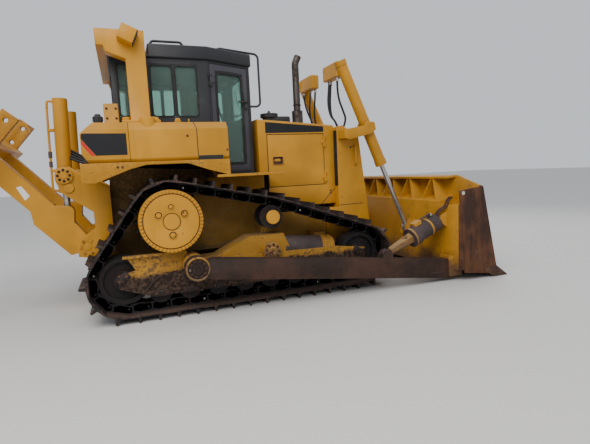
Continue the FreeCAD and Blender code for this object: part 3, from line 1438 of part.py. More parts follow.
def ripper_eye_place():
    """Rod eye in the arm's own directions: along it and across it."""
    turn = math.radians(ripper_arm_angle)
    dx = ripper_eye_x - ripper_pivot_x
    dz = ripper_eye_z - ripper_pivot_z
    return dx * math.cos(turn) + dz * math.sin(turn), dz * math.cos(turn) - dx * math.sin(turn)


def ripper_frame():
    """Two box arms with pinned feet and rod lugs, joined by the tool beam."""
    half = ripper_arm_depth / 2
    arm_half = ripper_arm_width / 2
    beam_half = ripper_beam_size / 2
    eye_along, eye_across = ripper_eye_place()
    eye_half = ripper_eye_width / 2 + slip
    heel = half + arm_heel_depth
    arm_side = [(0, 78), (0, -78), (260, -half), (ripper_beam_at, -half), (ripper_beam_at, half),
                (arm_heel_fold, half), (arm_heel_end, heel), (arm_heel_start, heel)]
    pieces = []
    for side in (1, -1):
        middle = side * ripper_mast_y
        arm = arm_local(arm_side, middle - arm_half, middle + arm_half)
        boss = cross_pin(ripper_pivot_x, ripper_pivot_z, middle - arm_half, middle + arm_half, 80)
        lugs = arm_local([(eye_along - 130, -half), (eye_along - 60, eye_across - 42),
                          (eye_along + 60, eye_across - 42), (eye_along + 130, -half)],
                         middle - arm_half, middle + arm_half)
        lug_top = cross_pin(ripper_eye_x, ripper_eye_z, middle - arm_half, middle + arm_half, lug_radius)
        slot = arm_local([(eye_along - 150, -40), (eye_along + 150, -40), (eye_along + 150, eye_across - 150),
                          (eye_along - 150, eye_across - 150)], middle - eye_half, middle + eye_half)
        pin = cross_pin(ripper_pivot_x, ripper_pivot_z, middle - arm_half - cheek, middle + arm_half + cheek,
                        ripper_foot_radius - slip)
        pieces += [fuse([arm, lugs, lug_top]).cut(slot), boss, pin]
    pieces.append(arm_local([(ripper_beam_at - beam_half, -beam_half), (ripper_beam_at - beam_half, beam_half),
                             (ripper_beam_at + beam_half, beam_half), (ripper_beam_at + beam_half, -beam_half)],
                            -ripper_beam_half_width, ripper_beam_half_width))
    whole = fuse(pieces)
    for y in shank_places():
        whole = whole.cut(in_beam(shank_pocket(), y))
    return whole


def shank_places():
    return [-shank_spacing, 0.0, shank_spacing]


def in_beam(shape, y):
    """Turn a shape drawn in the working pose, about the beam's middle, to its stored place."""
    shape = shape.copy()
    shape.rotate(Vector(0, 0, 0), Vector(0, 1, 0), ripper_raise)
    centre = along(ripper_pivot_x, ripper_pivot_z, ripper_arm_angle, ripper_beam_at, y)
    shape.translate(centre)
    return shape


def shank_pocket():
    half = shank_depth / 2 + slip
    thick = shank_thickness / 2 + slip
    return box(-half, half, -thick, thick, -ripper_beam_size, ripper_beam_size)


def shank():
    """Straight shank with its forward-curved foot and wedge tip, in the working pose."""
    half = shank_depth / 2
    low = -shank_below
    thick = shank_thickness / 2
    stem = side_prism([(-half, shank_above), (half, shank_above), (half, low + 585), (half + 30, low + 385),
                       (half + 110, low + 215), (half + 230, low + 105), (half + 240, low + 15),
                       (half + 50, low + 45), (-half + 120, low + 145), (-half + 30, low + 335),
                       (-half, low + 585)], -thick, thick)
    for z in (shank_above - shank_hole_drop, shank_above - shank_hole_drop - shank_hole_step):
        stem = stem.cut(cross_pin(0, z, -thick - 1, thick + 1, shank_hole_radius))
    tip = side_prism([(half + 140, low + 170), (half + 250, low + 110), (half + 345, low),
                      (half + 60, low + 20)], -thick - tip_half_extra, thick + tip_half_extra)
    return stem.fuse(tip).removeSplitter()


def shanks():
    return [in_beam(shank(), y) for y in shank_places()]


# Ripper cylinders, drawn along their axis from the bracket pin to the eye on the arm

ripper_direction = Vector(ripper_eye_x - ripper_pin_x, 0, ripper_eye_z - ripper_pin_z)
ripper_reach = ripper_direction.Length
ripper_direction.normalize()


def at_ripper_pin(distance, y):
    return Vector(ripper_pin_x, y, ripper_pin_z) + ripper_direction * distance


def ripper_barrel(y):
    arm_half = ripper_arm_width / 2
    barrel = rod_between(at_ripper_pin(-ripper_head, y), at_ripper_pin(ripper_gland, y), ripper_barrel_radius)
    pin = cross_pin(ripper_pin_x, ripper_pin_z, y - arm_half - cheek, y + arm_half + cheek,
                    ripper_pin_radius - slip)
    bore = rod_between(at_ripper_pin(-ripper_head + 60, y), at_ripper_pin(ripper_gland + 1, y),
                       ripper_rod_radius + 1)
    return fuse([barrel, pin]).cut(bore)


def ripper_rod(y):
    rod = rod_between(at_ripper_pin(-120, y), at_ripper_pin(ripper_reach, y), ripper_rod_radius)
    eye = cross_pin(ripper_eye_x, ripper_eye_z, y - ripper_eye_width / 2, y + ripper_eye_width / 2,
                    ripper_eye_radius)
    return fuse([rod, eye])


def pair(piece, y):
    return [piece(-y), piece(y)]


# Pieces made once: node name, its solids
single_pieces = [
    ("main_frame", [main_frame()]),
    ("engine_block", [engine()]),
    ("hood", [hood()]),
    ("radiator_guard", [radiator_guard()]),
    ("grille", [grille()]),
    ("exhaust_stack", [exhaust()]),
    ("air_intake", [air_intake()]),
    ("fuel_tank", [fuel_tank()]),
    ("cab_frame", [cab_frame()]),
    ("cab_windows", cab_windows()),
    ("cab_roof", [cab_roof()]),
    ("seat", [seat()]),
    ("console", [console()]),
    ("rollover_frame", [rollover_frame()]),
    ("work_lights", work_lights()),
    ("grab_rails", grab_rails()),
    ("blade", [blade()]),
    ("cutting_edge", [cutting_edge()]),
    ("push_arms", both_sides(push_arm())),
    ("tilt_cylinder", [tilt_cylinder()]),
    ("tilt_brace", [tilt_brace()]),
    ("lift_barrels", pair(lift_barrel, lift_y)),
    ("lift_rods", pair(lift_rod, lift_y)),
    ("ripper_bracket", [ripper_bracket()]),
    ("ripper_frame", [ripper_frame()]),
    ("ripper_shanks", shanks()),
    ("ripper_barrels", pair(ripper_barrel, ripper_mast_y)),
    ("ripper_rods", pair(ripper_rod, ripper_mast_y)),
]

# Pieces made on the left and mirrored to the right
left_pieces = [
    ("track", [track()]),
    ("sprocket", [sprocket()]),
    ("running_wheels", running_wheels()),
    ("track_frame", [track_frame()]),
    ("fender", [fender()]),
    ("side_tank", [side_tank()]),
]

# Pieces made on the right and mirrored to the left
right_pieces = [
    ("cab_door", [cab_door()]),
    ("cab_door_glass", [cab_door_glass()]),
    ("engine_door", [engine_door()]),
]

for name, shapes in single_pieces:
    export(name, shapes)
for name, shapes in left_pieces:
    export(name + "_left", shapes)
    export(name + "_right", mirrored(shapes))
for name, shapes in right_pieces:
    export(name + "_right", shapes)
    export(name + "_left", mirrored(shapes))
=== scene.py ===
"""Looks of the crawler bulldozer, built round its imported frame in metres: +X forward, +Y left, +Z up."""

import json
import logging
import math
from collections.abc import Callable
from dataclasses import dataclass, field
from enum import Enum

import bmesh
import bpy
from mathutils import Matrix, Vector

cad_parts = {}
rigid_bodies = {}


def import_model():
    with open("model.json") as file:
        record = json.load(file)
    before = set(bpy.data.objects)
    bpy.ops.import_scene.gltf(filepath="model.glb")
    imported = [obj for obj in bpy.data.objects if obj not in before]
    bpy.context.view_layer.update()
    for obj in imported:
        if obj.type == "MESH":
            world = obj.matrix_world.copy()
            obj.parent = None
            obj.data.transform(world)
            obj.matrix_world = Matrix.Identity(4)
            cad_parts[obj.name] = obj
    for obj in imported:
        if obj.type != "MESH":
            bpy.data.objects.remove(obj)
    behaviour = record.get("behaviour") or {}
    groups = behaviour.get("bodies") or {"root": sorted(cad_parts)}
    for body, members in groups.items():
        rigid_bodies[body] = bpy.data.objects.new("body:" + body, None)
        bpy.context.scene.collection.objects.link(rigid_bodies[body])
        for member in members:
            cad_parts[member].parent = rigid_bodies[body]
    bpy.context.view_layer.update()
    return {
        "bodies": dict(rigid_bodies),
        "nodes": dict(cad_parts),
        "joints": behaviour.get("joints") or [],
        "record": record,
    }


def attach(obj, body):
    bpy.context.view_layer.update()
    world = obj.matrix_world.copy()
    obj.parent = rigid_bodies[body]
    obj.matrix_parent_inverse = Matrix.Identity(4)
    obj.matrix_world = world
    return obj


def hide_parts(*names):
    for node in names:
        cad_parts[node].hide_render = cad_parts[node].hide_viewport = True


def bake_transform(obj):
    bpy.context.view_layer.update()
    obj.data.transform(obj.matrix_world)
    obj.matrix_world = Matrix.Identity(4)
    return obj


LOG = logging.getLogger("bulldozer")
Point = tuple[float, float, float]
Colour = tuple[float, float, float]
UP = (0, 0, 1)
HARD_EDGE = math.radians(35)    # faces that meet at more than this have an edge to round
FLAT = math.radians(0.6)        # faces that meet at less than this are one face
WELD = 2e-5                     # distance within which vertices are one, metres
BOLT_TURN = 0.5                 # largest random turn of a bolt, radians


class Finish(Enum):
    """Every finish on the machine: its material's name and its slot in the record."""

    YELLOW = ("worn_yellow_paint", "paint_yellow")
    DIRTY_YELLOW = ("muddy_yellow_paint", "paint_yellow")
    BLACK = ("dusty_black_paint", "paint_black")
    DECAL = ("black_decal_film", "paint_black")
    STRIPE = ("red_decal_film", "paint_yellow")
    LABEL = ("blank_white_label", "paint_yellow")
    CHAIN = ("track_chain_steel", "steel_rusty")
    RUST = ("rusty_plate", "steel_rusty")
    EDGE = ("worn_cutting_steel", "steel_worn")
    BOLT = ("plated_bolt", "steel_worn")
    CHROME = ("chromed_rod", "chrome_rod")
    GLASS = ("tinted_cab_glass", "cab_glass")
    LENS = ("lamp_lens", "cab_glass")
    RUBBER = ("black_rubber", "plastic_black")
    HOSE = ("black_hydraulic_hose", "plastic_black")
    PLASTIC = ("black_plastic", "plastic_black")
    CLOTH = ("seat_cloth", "seat_cloth")
    SOOT = ("sooty_exhaust", "steel_dark")
    IRON = ("engine_iron", "steel_dark")
    FRAME = ("soiled_frame_paint", "paint_yellow")
    ARM = ("rusty_push_arm", "steel_rusty")
    BARREL = ("brown_cylinder_barrel", "steel_rusty")
    CAB = ("grey_cab_paint", "paint_black")
    BLADE = ("blade_paint_and_rust", "paint_yellow")
    WELL = ("soiled_track_well", "paint_yellow")
    SHANK = ("scraped_shank_paint", "paint_yellow")
    HULL = ("soiled_hull_paint", "paint_yellow")

    @property
    def material(self) -> str:
        """Name of its material."""
        return self.value[0]

    @property
    def slot(self) -> str:
        """Name of its slot."""
        return self.value[1]


class Side(Enum):
    """Both sides of the machine: the sign of Y and the name."""

    RIGHT = (-1, "right")
    LEFT = (1, "left")

    @property
    def sign(self) -> int:
        """Sign of Y."""
        return self.value[0]

    @property
    def label(self) -> str:
        """Name at the end of the pieces' names."""
        return self.value[1]

    @property
    def out(self) -> Point:
        """Direction away from the machine."""
        return 0, self.sign, 0

    def at(self, point: Point, shift: float = 0.0) -> Point:
        """Take a point of the left side to this side and shift it outwards."""
        x, y, z = point
        return x, self.sign * (y + shift), z


# Shader maths as Python expressions


def math_method(operation: str, reflected: bool = False) -> Callable[["Value", object], "Value"]:
    """Make a method of Value that adds one Math node.

    Args:
        operation: The node's operation.
        reflected: Whether the other number comes first.

    Returns:
        The method.
    """
    def method(self: "Value", other: object) -> "Value":
        """Add the node.

        Args:
            self: The first number.
            other: The second number.

        Returns:
            The node's result.
        """
        first, second = (other, self) if reflected else (self, other)
        node = self.graph.node("ShaderNodeMath", {"operation": operation}, {0: first, 1: second})
        return Value(self.graph, node.outputs[0])
    return method


@dataclass(frozen=True)
class Value:
    """A number socket that adds Math nodes when it is used in an expression."""

    graph: "Graph"
    socket: bpy.types.NodeSocket

    __add__ = __radd__ = math_method("ADD")
    __mul__ = __rmul__ = math_method("MULTIPLY")
    __sub__ = math_method("SUBTRACT")
    __rsub__ = math_method("SUBTRACT", reflected=True)
    __truediv__ = math_method("DIVIDE")
    __rtruediv__ = math_method("DIVIDE", reflected=True)
    __pow__ = math_method("POWER")
    larger = math_method("MAXIMUM")
    smaller = math_method("MINIMUM")

    def step(self, low: float, high: float) -> "Value":
        """Smooth step from 0 at low to 1 at high, which may be below low."""
        node = self.graph.node("ShaderNodeMapRange", {"interpolation_type": "SMOOTHSTEP"},
                               {"Value": self, "From Min": low, "From Max": high})
        return Value(self.graph, node.outputs[0])


def shade(colour: Colour, factor: float) -> Colour:
    """A colour made darker or brighter."""
    return tuple(c * factor for c in colour)


def filled(colour: object) -> object:
    """A colour socket as it is, or a colour with its alpha."""
    return colour if isinstance(colour, bpy.types.NodeSocket) else (*colour, 1.0)


class Graph:
    """A material's node tree and the few ways in which the finishes extend it."""

    def __init__(self, name: str) -> None:
        """Start an empty material under a name.

        Args:
            name: The material's name.
        """
        self.material = bpy.data.materials.new(name)
        self.material.use_nodes = True
        self.tree = self.material.node_tree
        self.tree.nodes.clear()
        self.place = self.node("ShaderNodeTexCoord").outputs["Object"]
        normal = self.node("ShaderNodeNewGeometry").outputs["Normal"]
        (self.x, self.y, self.z), (self.ahead, _, self.up) = (
            [Value(self, s) for s in self.node("ShaderNodeSeparateXYZ", inputs={0: vector}).outputs]
            for vector in (self.place, normal))

    @property
    def aside(self) -> Value:
        """Distance from the machine's middle plane."""
        return (self.y * self.y) ** 0.5

    def node(self, kind: str, settings: dict | None = None, inputs: dict | None = None) -> bpy.types.Node:
        """Add a node, its settings first and then its inputs.

        Args:
            kind: The node's type.
            settings: Attribute values of the node.
            inputs: Socket name or index to a Value, a socket or a constant.

        Returns:
            The new node.
        """
        node = self.tree.nodes.new(kind)
        for key, value in (settings or {}).items():
            setattr(node, key, value)
        for key, value in (inputs or {}).items():
            value = value.socket if isinstance(value, Value) else value
            if isinstance(value, bpy.types.NodeSocket):
                self.tree.links.new(value, node.inputs[key])
            else:
                node.inputs[key].default_value = value
        return node

    def noise(self, scale: float, detail: float = 3.0, stretch: Point = (1, 1, 1), shift: float = 0.0) -> Value:
        """Noise on the object's own coordinates.

        Args:
            scale: Features per metre.
            detail: Octaves.
            stretch: Extra scale along each axis.
            shift: Moves the pattern, so that two layers differ.

        Returns:
            Noise from 0 to 1, mostly near a half.
        """
        place = self.node("ShaderNodeMapping", inputs={"Vector": self.place, "Scale": stretch,
                                                       "Location": (shift, shift * 1.7, -shift)})
        noise = self.node("ShaderNodeTexNoise", inputs={"Vector": place.outputs[0], "Scale": scale,
                                                        "Detail": detail, "Roughness": 0.6})
        return Value(self, noise.outputs[0])

    def mix(self, factor: Value, first: object, second: object) -> bpy.types.NodeSocket:
        """Mix two colours or colour sockets; the factor is the second one's share."""
        return self.node("ShaderNodeMix", {"data_type": "RGBA"},
                         {0: factor, 6: filled(first), 7: filled(second)}).outputs[2]

    def surface(self, base: object, roughness: object, height: Value | None = None, relief: float = 0.001,
                **constants: object) -> bpy.types.Material:
        """Close the graph with one Principled shader.

        Args:
            base: Base colour, as a colour or a socket.
            roughness: Roughness, as a number or a Value.
            height: Relief that bumps the surface.
            relief: Depth of the relief in metres.
            constants: Other inputs of the shader by name, with _ for a space.

        Returns:
            The finished material.
        """
        inputs = {"Base Color": filled(base), "Roughness": roughness}
        inputs.update({key.replace("_", " "): value for key, value in constants.items()})
        if height is not None:
            bump = self.node("ShaderNodeBump", inputs={"Height": height, "Strength": 1.0, "Distance": relief})
            inputs["Normal"] = bump.outputs[0]
        shader = self.node("ShaderNodeBsdfPrincipled", inputs=inputs)
        self.node("ShaderNodeOutputMaterial", inputs={"Surface": shader.outputs[0]})
        return self.material


# Finishes


class Recipe:
    """Base of the finishes, which each draw their own nodes."""

    def build(self, name: str) -> bpy.types.Material:
        """Make the material under a name."""
        return self.drawn(Graph(name))

    def drawn(self, g: Graph) -> bpy.types.Material:
        """Draw the finish in a new graph.

        Args:
            g: The new graph.

        Returns:
            The finished material.
        """
        raise NotImplementedError


@dataclass(frozen=True)
class WornPaint(Recipe):
    """Semi-gloss paint with dust on top, mud towards the ground, run marks and rust chips."""

    colour: Colour
    chips: float = 0.5          # 0 none, 1 many
    mud: float = 0.5            # share of mud near the ground
    mud_top: float = 1.0        # height where the mud ends, metres
    dust: float = 0.35
    gloss: float = 0.42
    rust: Colour = (0.085, 0.035, 0.018)
    soil: Colour = (0.115, 0.075, 0.05)
    dust_colour: Colour = (0.36, 0.235, 0.115)

    def drawn(self, g: Graph) -> bpy.types.Material:
        """Draw the paint's fading, mud, dust and chips.

        Args:
            g: The new graph.

        Returns:
            The finished material.
        """
        broad = g.noise(1.3, 3.0)
        fine = g.noise(26.0, 4.0, shift=3.0)
        grain = g.noise(90.0, 2.0, shift=1.0)
        runs = g.noise(5.0, 4.0, stretch=(1.0, 1.0, 0.12), shift=7.0).step(0.52, 0.72)
        colour = g.mix(broad.step(0.3, 0.7), shade(self.colour, 0.80), shade(self.colour, 1.12))
        colour = g.mix(runs * 0.22, colour, shade(self.colour, 0.55))
        low = g.z.step(self.mud_top, self.mud_top * 0.25)
        mud = (low * self.mud + (broad - 0.5) * 0.5).step(0.22, 0.75) * (fine * 0.7 + 0.5).smaller(1.0)
        colour = g.mix(mud, colour, self.soil)
        dust = g.up.step(0.35, 0.95) * self.dust * (broad * 0.8 + 0.5)
        colour = g.mix(dust, colour, self.dust_colour)
        limit = 0.80 - 0.16 * self.chips
        chips = (g.noise(14.0, 6.0, shift=11.0) + low * 0.06).step(limit - 0.05, limit)
        colour = g.mix(chips, colour, self.rust)
        rough = (dust + mud * 0.6 + chips * 0.5 + (fine - 0.5) * 0.25 + self.gloss).smaller(0.95)
        height = fine * 0.25 + grain * 0.08 - chips * 0.5 + mud * fine
        return g.surface(colour, rough, height, relief=0.0012, Specular_IOR_Level=0.28)


@dataclass(frozen=True)
class RustyPlate(Recipe):
    """Steel plate rusted brown, with darker stains, scratches and dried mud."""

    dark: Colour = (0.045, 0.02, 0.014)
    warm: Colour = (0.13, 0.052, 0.026)
    grey: Colour = (0.12, 0.10, 0.09)
    bare: float = 0.1           # share of bare, rubbed metal
    metallic: float = 0.25
    streaks: float = 0.5        # share of upright streaks in the rust

    def drawn(self, g: Graph) -> bpy.types.Material:
        """Draw the rust's patches, spots and scratches.

        Args:
            g: The new graph.

        Returns:
            The finished material.
        """
        broad = g.noise(2.2, 5.0)
        spots = g.noise(22.0, 6.0, shift=5.0)
        runs = g.noise(3.0, 5.0, stretch=(2.2, 2.2, 0.25), shift=2.0)
        patches = broad * (1.1 - self.streaks) + runs * self.streaks
        colour = g.mix(patches.step(0.42, 0.72), self.dark, self.warm)
        colour = g.mix((spots * 0.7 + broad * 0.3).step(0.56, 0.66) * 0.6, colour, self.grey)
        scratches = g.noise(9.0, 3.0, stretch=(0.25, 6.0, 6.0), shift=9.0).step(0.66, 0.72) * self.bare
        colour = g.mix(scratches, colour, (0.42, 0.38, 0.34))
        return g.surface(colour, 0.88 - scratches * 0.45 - spots * 0.18, spots * 0.5 + broad * 0.4, relief=0.002,
                         Metallic=self.metallic)


@dataclass(frozen=True)
class SoiledPaint(Recipe):
    """Paint that a ragged edge of dark wet soil covers below a height, and that soil with painted shade can also cover
    inside a well.
    """

    colour: Colour
    edge: float = 0.50          # height of the soil's upper edge, metres
    soil: Colour = (0.022, 0.013, 0.010)
    crust: Colour = (0.075, 0.045, 0.030)
    well: tuple = (0.0, 0.0, 0.0)           # soil and painted shade also inside this y, below this z and behind this x

    def drawn(self, g: Graph) -> bpy.types.Material:
        """Draw the paint, the soil, the ragged edge between them and the painted shade in the well.

        Args:
            g: The new graph.

        Returns:
            The finished material.
        """
        broad = g.noise(4.0, 5.0)
        fine = g.noise(34.0, 5.0, shift=4.0)
        paint = g.mix(broad.step(0.35, 0.7), shade(self.colour, 0.72), self.colour)
        paint = g.mix((fine * 0.6 + broad * 0.5).step(0.56, 0.68) * 0.8, paint, self.crust)
        # Soil and crust colour; inside the well it also paints shade.
        dirt = g.mix(fine.step(0.42, 0.62), self.soil, self.crust)
        ragged = g.z + (broad - 0.5) * 0.22 + (fine - 0.5) * 0.12
        soil_and_shade_cover = ragged.step(self.edge + 0.02, self.edge - 0.02)
        # Inside this y, below this z and behind this x, the soil colour also covers the well as painted shade.
        y, z, x = self.well
        if y:
            inside = g.aside.step(y + 0.001, y - 0.001) * g.z.step(z + 0.001, z - 0.001)
            soil_and_shade_cover = soil_and_shade_cover.larger(inside * g.x.step(x + 0.01, x - 0.01))
        colour = g.mix(soil_and_shade_cover, paint, dirt)
        colour = g.mix(g.up.step(0.5, 0.95) * broad.step(0.3, 0.6) * 0.6, colour, (0.16, 0.115, 0.075))
        return g.surface(colour, soil_and_shade_cover * 0.25 + fine * 0.2 + 0.5, soil_and_shade_cover * fine + fine * 0.3, relief=0.003,
                         Specular_IOR_Level=0.25)


@dataclass(frozen=True)
class BladePaint(Recipe):
    """Yellow paint behind, worn rust in front and on the end plates, mud along the foot."""

    colour: Colour
    end: float = 1.5985         # where the end plates start, off the middle
    dark: Colour = (0.042, 0.019, 0.013)
    warm: Colour = (0.118, 0.047, 0.020)
    mark: tuple = (2.690, 1.147, 0.024)     # pale bolt in the end plate's corner: x, z, radius

    def drawn(self, g: Graph) -> bpy.types.Material:
        """Draw the paint, the rust and the pale bolt.

        Args:
            g: The new graph.

        Returns:
            The finished material.
        """
        broad = g.noise(1.8, 4.0)
        fine = g.noise(24.0, 5.0, shift=3.0)
        runs = g.noise(3.0, 5.0, stretch=(2.0, 2.0, 0.3), shift=6.0)
        paint = g.mix(broad.step(0.3, 0.7), shade(self.colour, 0.72), self.colour)
        paint = g.mix((runs * 0.7 + fine * 0.4).step(0.58, 0.72) * 0.55, paint, (0.16, 0.085, 0.035))
        foot = (g.z + (broad - 0.5) * 0.9 + (fine - 0.5) * 0.3).step(0.50, 0.15)
        paint = g.mix(foot * 0.85, paint, (0.075, 0.040, 0.026))
        rust = g.mix((broad * 0.6 + runs * 0.5).step(0.48, 0.66), self.dark, self.warm)
        rust = g.mix((fine * 0.8 + broad * 0.2).step(0.60, 0.68) * 0.5, rust, (0.15, 0.13, 0.12))
        ends = g.aside.step(self.end - 0.0005, self.end + 0.0005)
        worn = (ends + g.ahead.step(0.22, 0.42)).smaller(1.0)
        colour = g.mix(worn, paint, rust)
        x, z, radius = self.mark
        away = ((g.x - x) * (g.x - x) + (g.z - z) * (g.z - z)) ** 0.5
        colour = g.mix(away.step(radius + 0.002, radius - 0.003) * ends, colour, (0.50, 0.45, 0.38))
        rough = worn * 0.28 + fine * 0.2 + 0.45
        return g.surface(colour, rough, fine * 0.4 + broad * 0.3 * worn, relief=0.002, Specular_IOR_Level=0.3)


@dataclass(frozen=True)
class ChainSteel(Recipe):
    """Track steel: black inside, with rusty shoe ends and dry soil on what faces up."""

    deep: Colour = (0.011, 0.010, 0.011)
    rusty: Colour = (0.070, 0.036, 0.027)
    brown: Colour = (0.125, 0.070, 0.050)
    soil: Colour = (0.150, 0.098, 0.072)
    shoes: tuple = (1.05, 1.19)             # where the shoe ends' rust starts and is full, off the middle

    def drawn(self, g: Graph) -> bpy.types.Material:
        """Draw the rust by its place across the machine, and the soil.

        Args:
            g: The new graph.

        Returns:
            The finished material.
        """
        broad = g.noise(3.0, 4.0)
        spots = g.noise(30.0, 5.0, shift=4.0)
        outer = g.aside.step(*self.shoes)
        rust = (broad * 0.5 + spots * 0.5).step(0.42, 0.66)
        colour = g.mix(rust * (outer * 0.6 + 0.4), self.deep, self.rusty)
        colour = g.mix(outer * (spots.step(0.42, 0.68) * 0.45), colour, self.brown)
        dirt = (g.up.step(0.3, 0.9) * 0.55 + spots * 0.35).step(0.36, 0.80) * (outer * 0.45 + 0.25)
        colour = g.mix(dirt, colour, self.soil)
        return g.surface(colour, spots * 0.3 + 0.6, spots + broad * 0.5, relief=0.003, Metallic=0.3)


@dataclass(frozen=True)
class BareMetal(Recipe):
    """Bare or plated metal with fine scratches and a film of dirt."""

    colour: Colour
    rough: float = 0.3
    dirt: float = 0.3
    dirt_colour: Colour = (0.09, 0.055, 0.035)

    def drawn(self, g: Graph) -> bpy.types.Material:
        """Draw the film and the scratches.

        Args:
            g: The new graph.

        Returns:
            The finished material.
        """
        film = (g.noise(9.0, 5.0) * 0.8 + g.noise(60.0, 3.0, shift=2.0) * 0.2).step(0.46, 0.68) * self.dirt
        scratch = g.noise(40.0, 3.0, stretch=(1.0, 1.0, 0.1), shift=6.0)
        colour = g.mix(film, self.colour, self.dirt_colour)
        return g.surface(colour, film * 0.5 + scratch * 0.15 + self.rough, scratch, relief=0.0003, Metallic=0.9)


@dataclass(frozen=True)
class DustyCoat(Recipe):
    """Black paint, plastic, rubber, cloth or film with dust where it faces up."""

    colour: Colour
    rough: float = 0.5
    dust: float = 0.35
    weave: float = 0.0          # threads per metre, 0 for none
    dust_colour: Colour = (0.24, 0.21, 0.18)

    def drawn(self, g: Graph) -> bpy.types.Material:
        """Draw the coat, its dust and its weave.

        Args:
            g: The new graph.

        Returns:
            The finished material.
        """
        broad = g.noise(3.0, 4.0)
        fine = g.noise(45.0, 4.0, shift=5.0)
        dust = (g.up.step(0.1, 0.9) * self.dust + broad.step(0.5, 0.8) * self.dust * 0.5).smaller(1.0)
        dust = dust * (fine * 0.6 + 0.5)
        colour = g.mix(broad, shade(self.colour, 0.8), shade(self.colour, 1.3))
        colour = g.mix(dust, colour, self.dust_colour)
        height = fine * 0.4
        for axis in "XZ" if self.weave else "":
            wave = g.node("ShaderNodeTexWave", {"bands_direction": axis}, {"Vector": g.place, "Scale": self.weave})
            height = height + Value(g, wave.outputs[1]) * 0.5
        return g.surface(colour, (dust * 0.4 + fine * 0.12 + self.rough).smaller(0.95), height, relief=0.0006,
                         Specular_IOR_Level=0.3)


@dataclass(frozen=True)
class TintedGlass(Recipe):
    """Thin tinted safety glass with a dusty film."""

    colour: Colour = (0.50, 0.74, 0.65)
    film: float = 0.10

    def drawn(self, g: Graph) -> bpy.types.Material:
        """Draw the glass and the smears on it.

        Args:
            g: The new graph.

        Returns:
            The finished material.
        """
        smear = g.noise(4.0, 4.0, stretch=(1, 1, 0.5)).step(0.4, 0.8)
        colour = g.mix(smear * self.film, self.colour, (0.75, 0.75, 0.7))
        return g.surface(colour, smear * 0.12 + 0.03, Transmission_Weight=0.92, IOR=1.3)


YELLOW_PAINT: Colour = (0.505, 0.232, 0.014)
FINISHES = {
    Finish.YELLOW: WornPaint(YELLOW_PAINT, chips=0.25, mud=0.35, mud_top=0.9, dust=0.22),
    Finish.DIRTY_YELLOW: WornPaint(YELLOW_PAINT, chips=0.9, mud=0.95, mud_top=1.1, dust=0.6, gloss=0.6),
    Finish.BLACK: DustyCoat((0.022, 0.023, 0.026), rough=0.42, dust=0.18),
    Finish.DECAL: DustyCoat((0.010, 0.010, 0.012), rough=0.38, dust=0.06),
    Finish.STRIPE: DustyCoat((0.50, 0.015, 0.012), rough=0.4, dust=0.06),
    Finish.LABEL: DustyCoat((0.68, 0.66, 0.62), rough=0.45, dust=0.12),
    Finish.CHAIN: ChainSteel(),
    Finish.RUST: RustyPlate(),
    Finish.EDGE: RustyPlate(dark=(0.06, 0.035, 0.025), warm=(0.17, 0.085, 0.05), bare=0.7, metallic=0.5),
    Finish.BOLT: BareMetal((0.42, 0.38, 0.33), rough=0.38, dirt=0.6),
    Finish.CHROME: BareMetal((0.52, 0.50, 0.48), rough=0.24, dirt=0.5),
    Finish.GLASS: TintedGlass(),
    Finish.LENS: TintedGlass(colour=(0.9, 0.92, 0.92), film=0.2),
    Finish.RUBBER: DustyCoat((0.018, 0.018, 0.018), rough=0.7, dust=0.3),
    Finish.HOSE: DustyCoat((0.015, 0.015, 0.016), rough=0.5, dust=0.25),
    Finish.PLASTIC: DustyCoat((0.025, 0.025, 0.027), rough=0.55, dust=0.3),
    Finish.CLOTH: DustyCoat((0.03, 0.032, 0.04), rough=0.85, dust=0.1, weave=260.0),
    Finish.SOOT: BareMetal((0.10, 0.085, 0.075), rough=0.45, dirt=0.8, dirt_colour=(0.03, 0.018, 0.012)),
    Finish.IRON: DustyCoat((0.05, 0.047, 0.04), rough=0.6, dust=0.4),
    Finish.FRAME: SoiledPaint((0.42, 0.205, 0.022)),
    Finish.ARM: RustyPlate(dark=(0.024, 0.012, 0.008), warm=(0.064, 0.027, 0.016), grey=(0.055, 0.036, 0.027),
                           streaks=0.0),
    Finish.BARREL: RustyPlate(dark=(0.052, 0.037, 0.037), warm=(0.098, 0.066, 0.060),
                              grey=(0.15, 0.115, 0.10), streaks=0.2),
    Finish.CAB: DustyCoat((0.050, 0.049, 0.060), rough=0.45, dust=0.2),
    Finish.SHANK: SoiledPaint(YELLOW_PAINT, edge=1.55, soil=(0.085, 0.045, 0.030), crust=(0.16, 0.095, 0.065)),
    Finish.BLADE: BladePaint(YELLOW_PAINT),
    # Fender paint: soil mixed with painted shade on the fenders' inner walls, in the track well.
    Finish.WELL: SoiledPaint(YELLOW_PAINT, edge=0.62, soil=(0.100, 0.058, 0.023), crust=(0.190, 0.105, 0.036),
                             well=(1.183, 1.672, -0.310)),
    # Hull paint: a darker yellow that paints the shade under the fenders, with soil and painted shade behind x -0.93.
    Finish.HULL: SoiledPaint((0.34, 0.172, 0.026), edge=0.66, soil=(0.175, 0.105, 0.040),
                             crust=(0.210, 0.130, 0.052), well=(3.0, 3.0, -0.930)),
}


# Mesh making


def turned_to(direction: Vector) -> Matrix:
    """Rotation that takes +Z to a direction, as a 4 by 4 matrix."""
    return Vector(direction).to_track_quat("Z", "Y").to_matrix().to_4x4()


def facing(place: Point, normal: Point) -> Matrix:
    """Frame at a place whose +Z looks along a normal."""
    return Matrix.Translation(place) @ turned_to(normal)


def shown(name: str, data: bpy.types.ID) -> bpy.types.Object:
    """Put a new object in the scene.

    Args:
        name: The object's name.
        data: Its mesh, light or camera.

    Returns:
        The new object.
    """
    made = bpy.data.objects.new(name, data)
    bpy.context.scene.collection.objects.link(made)
    return made


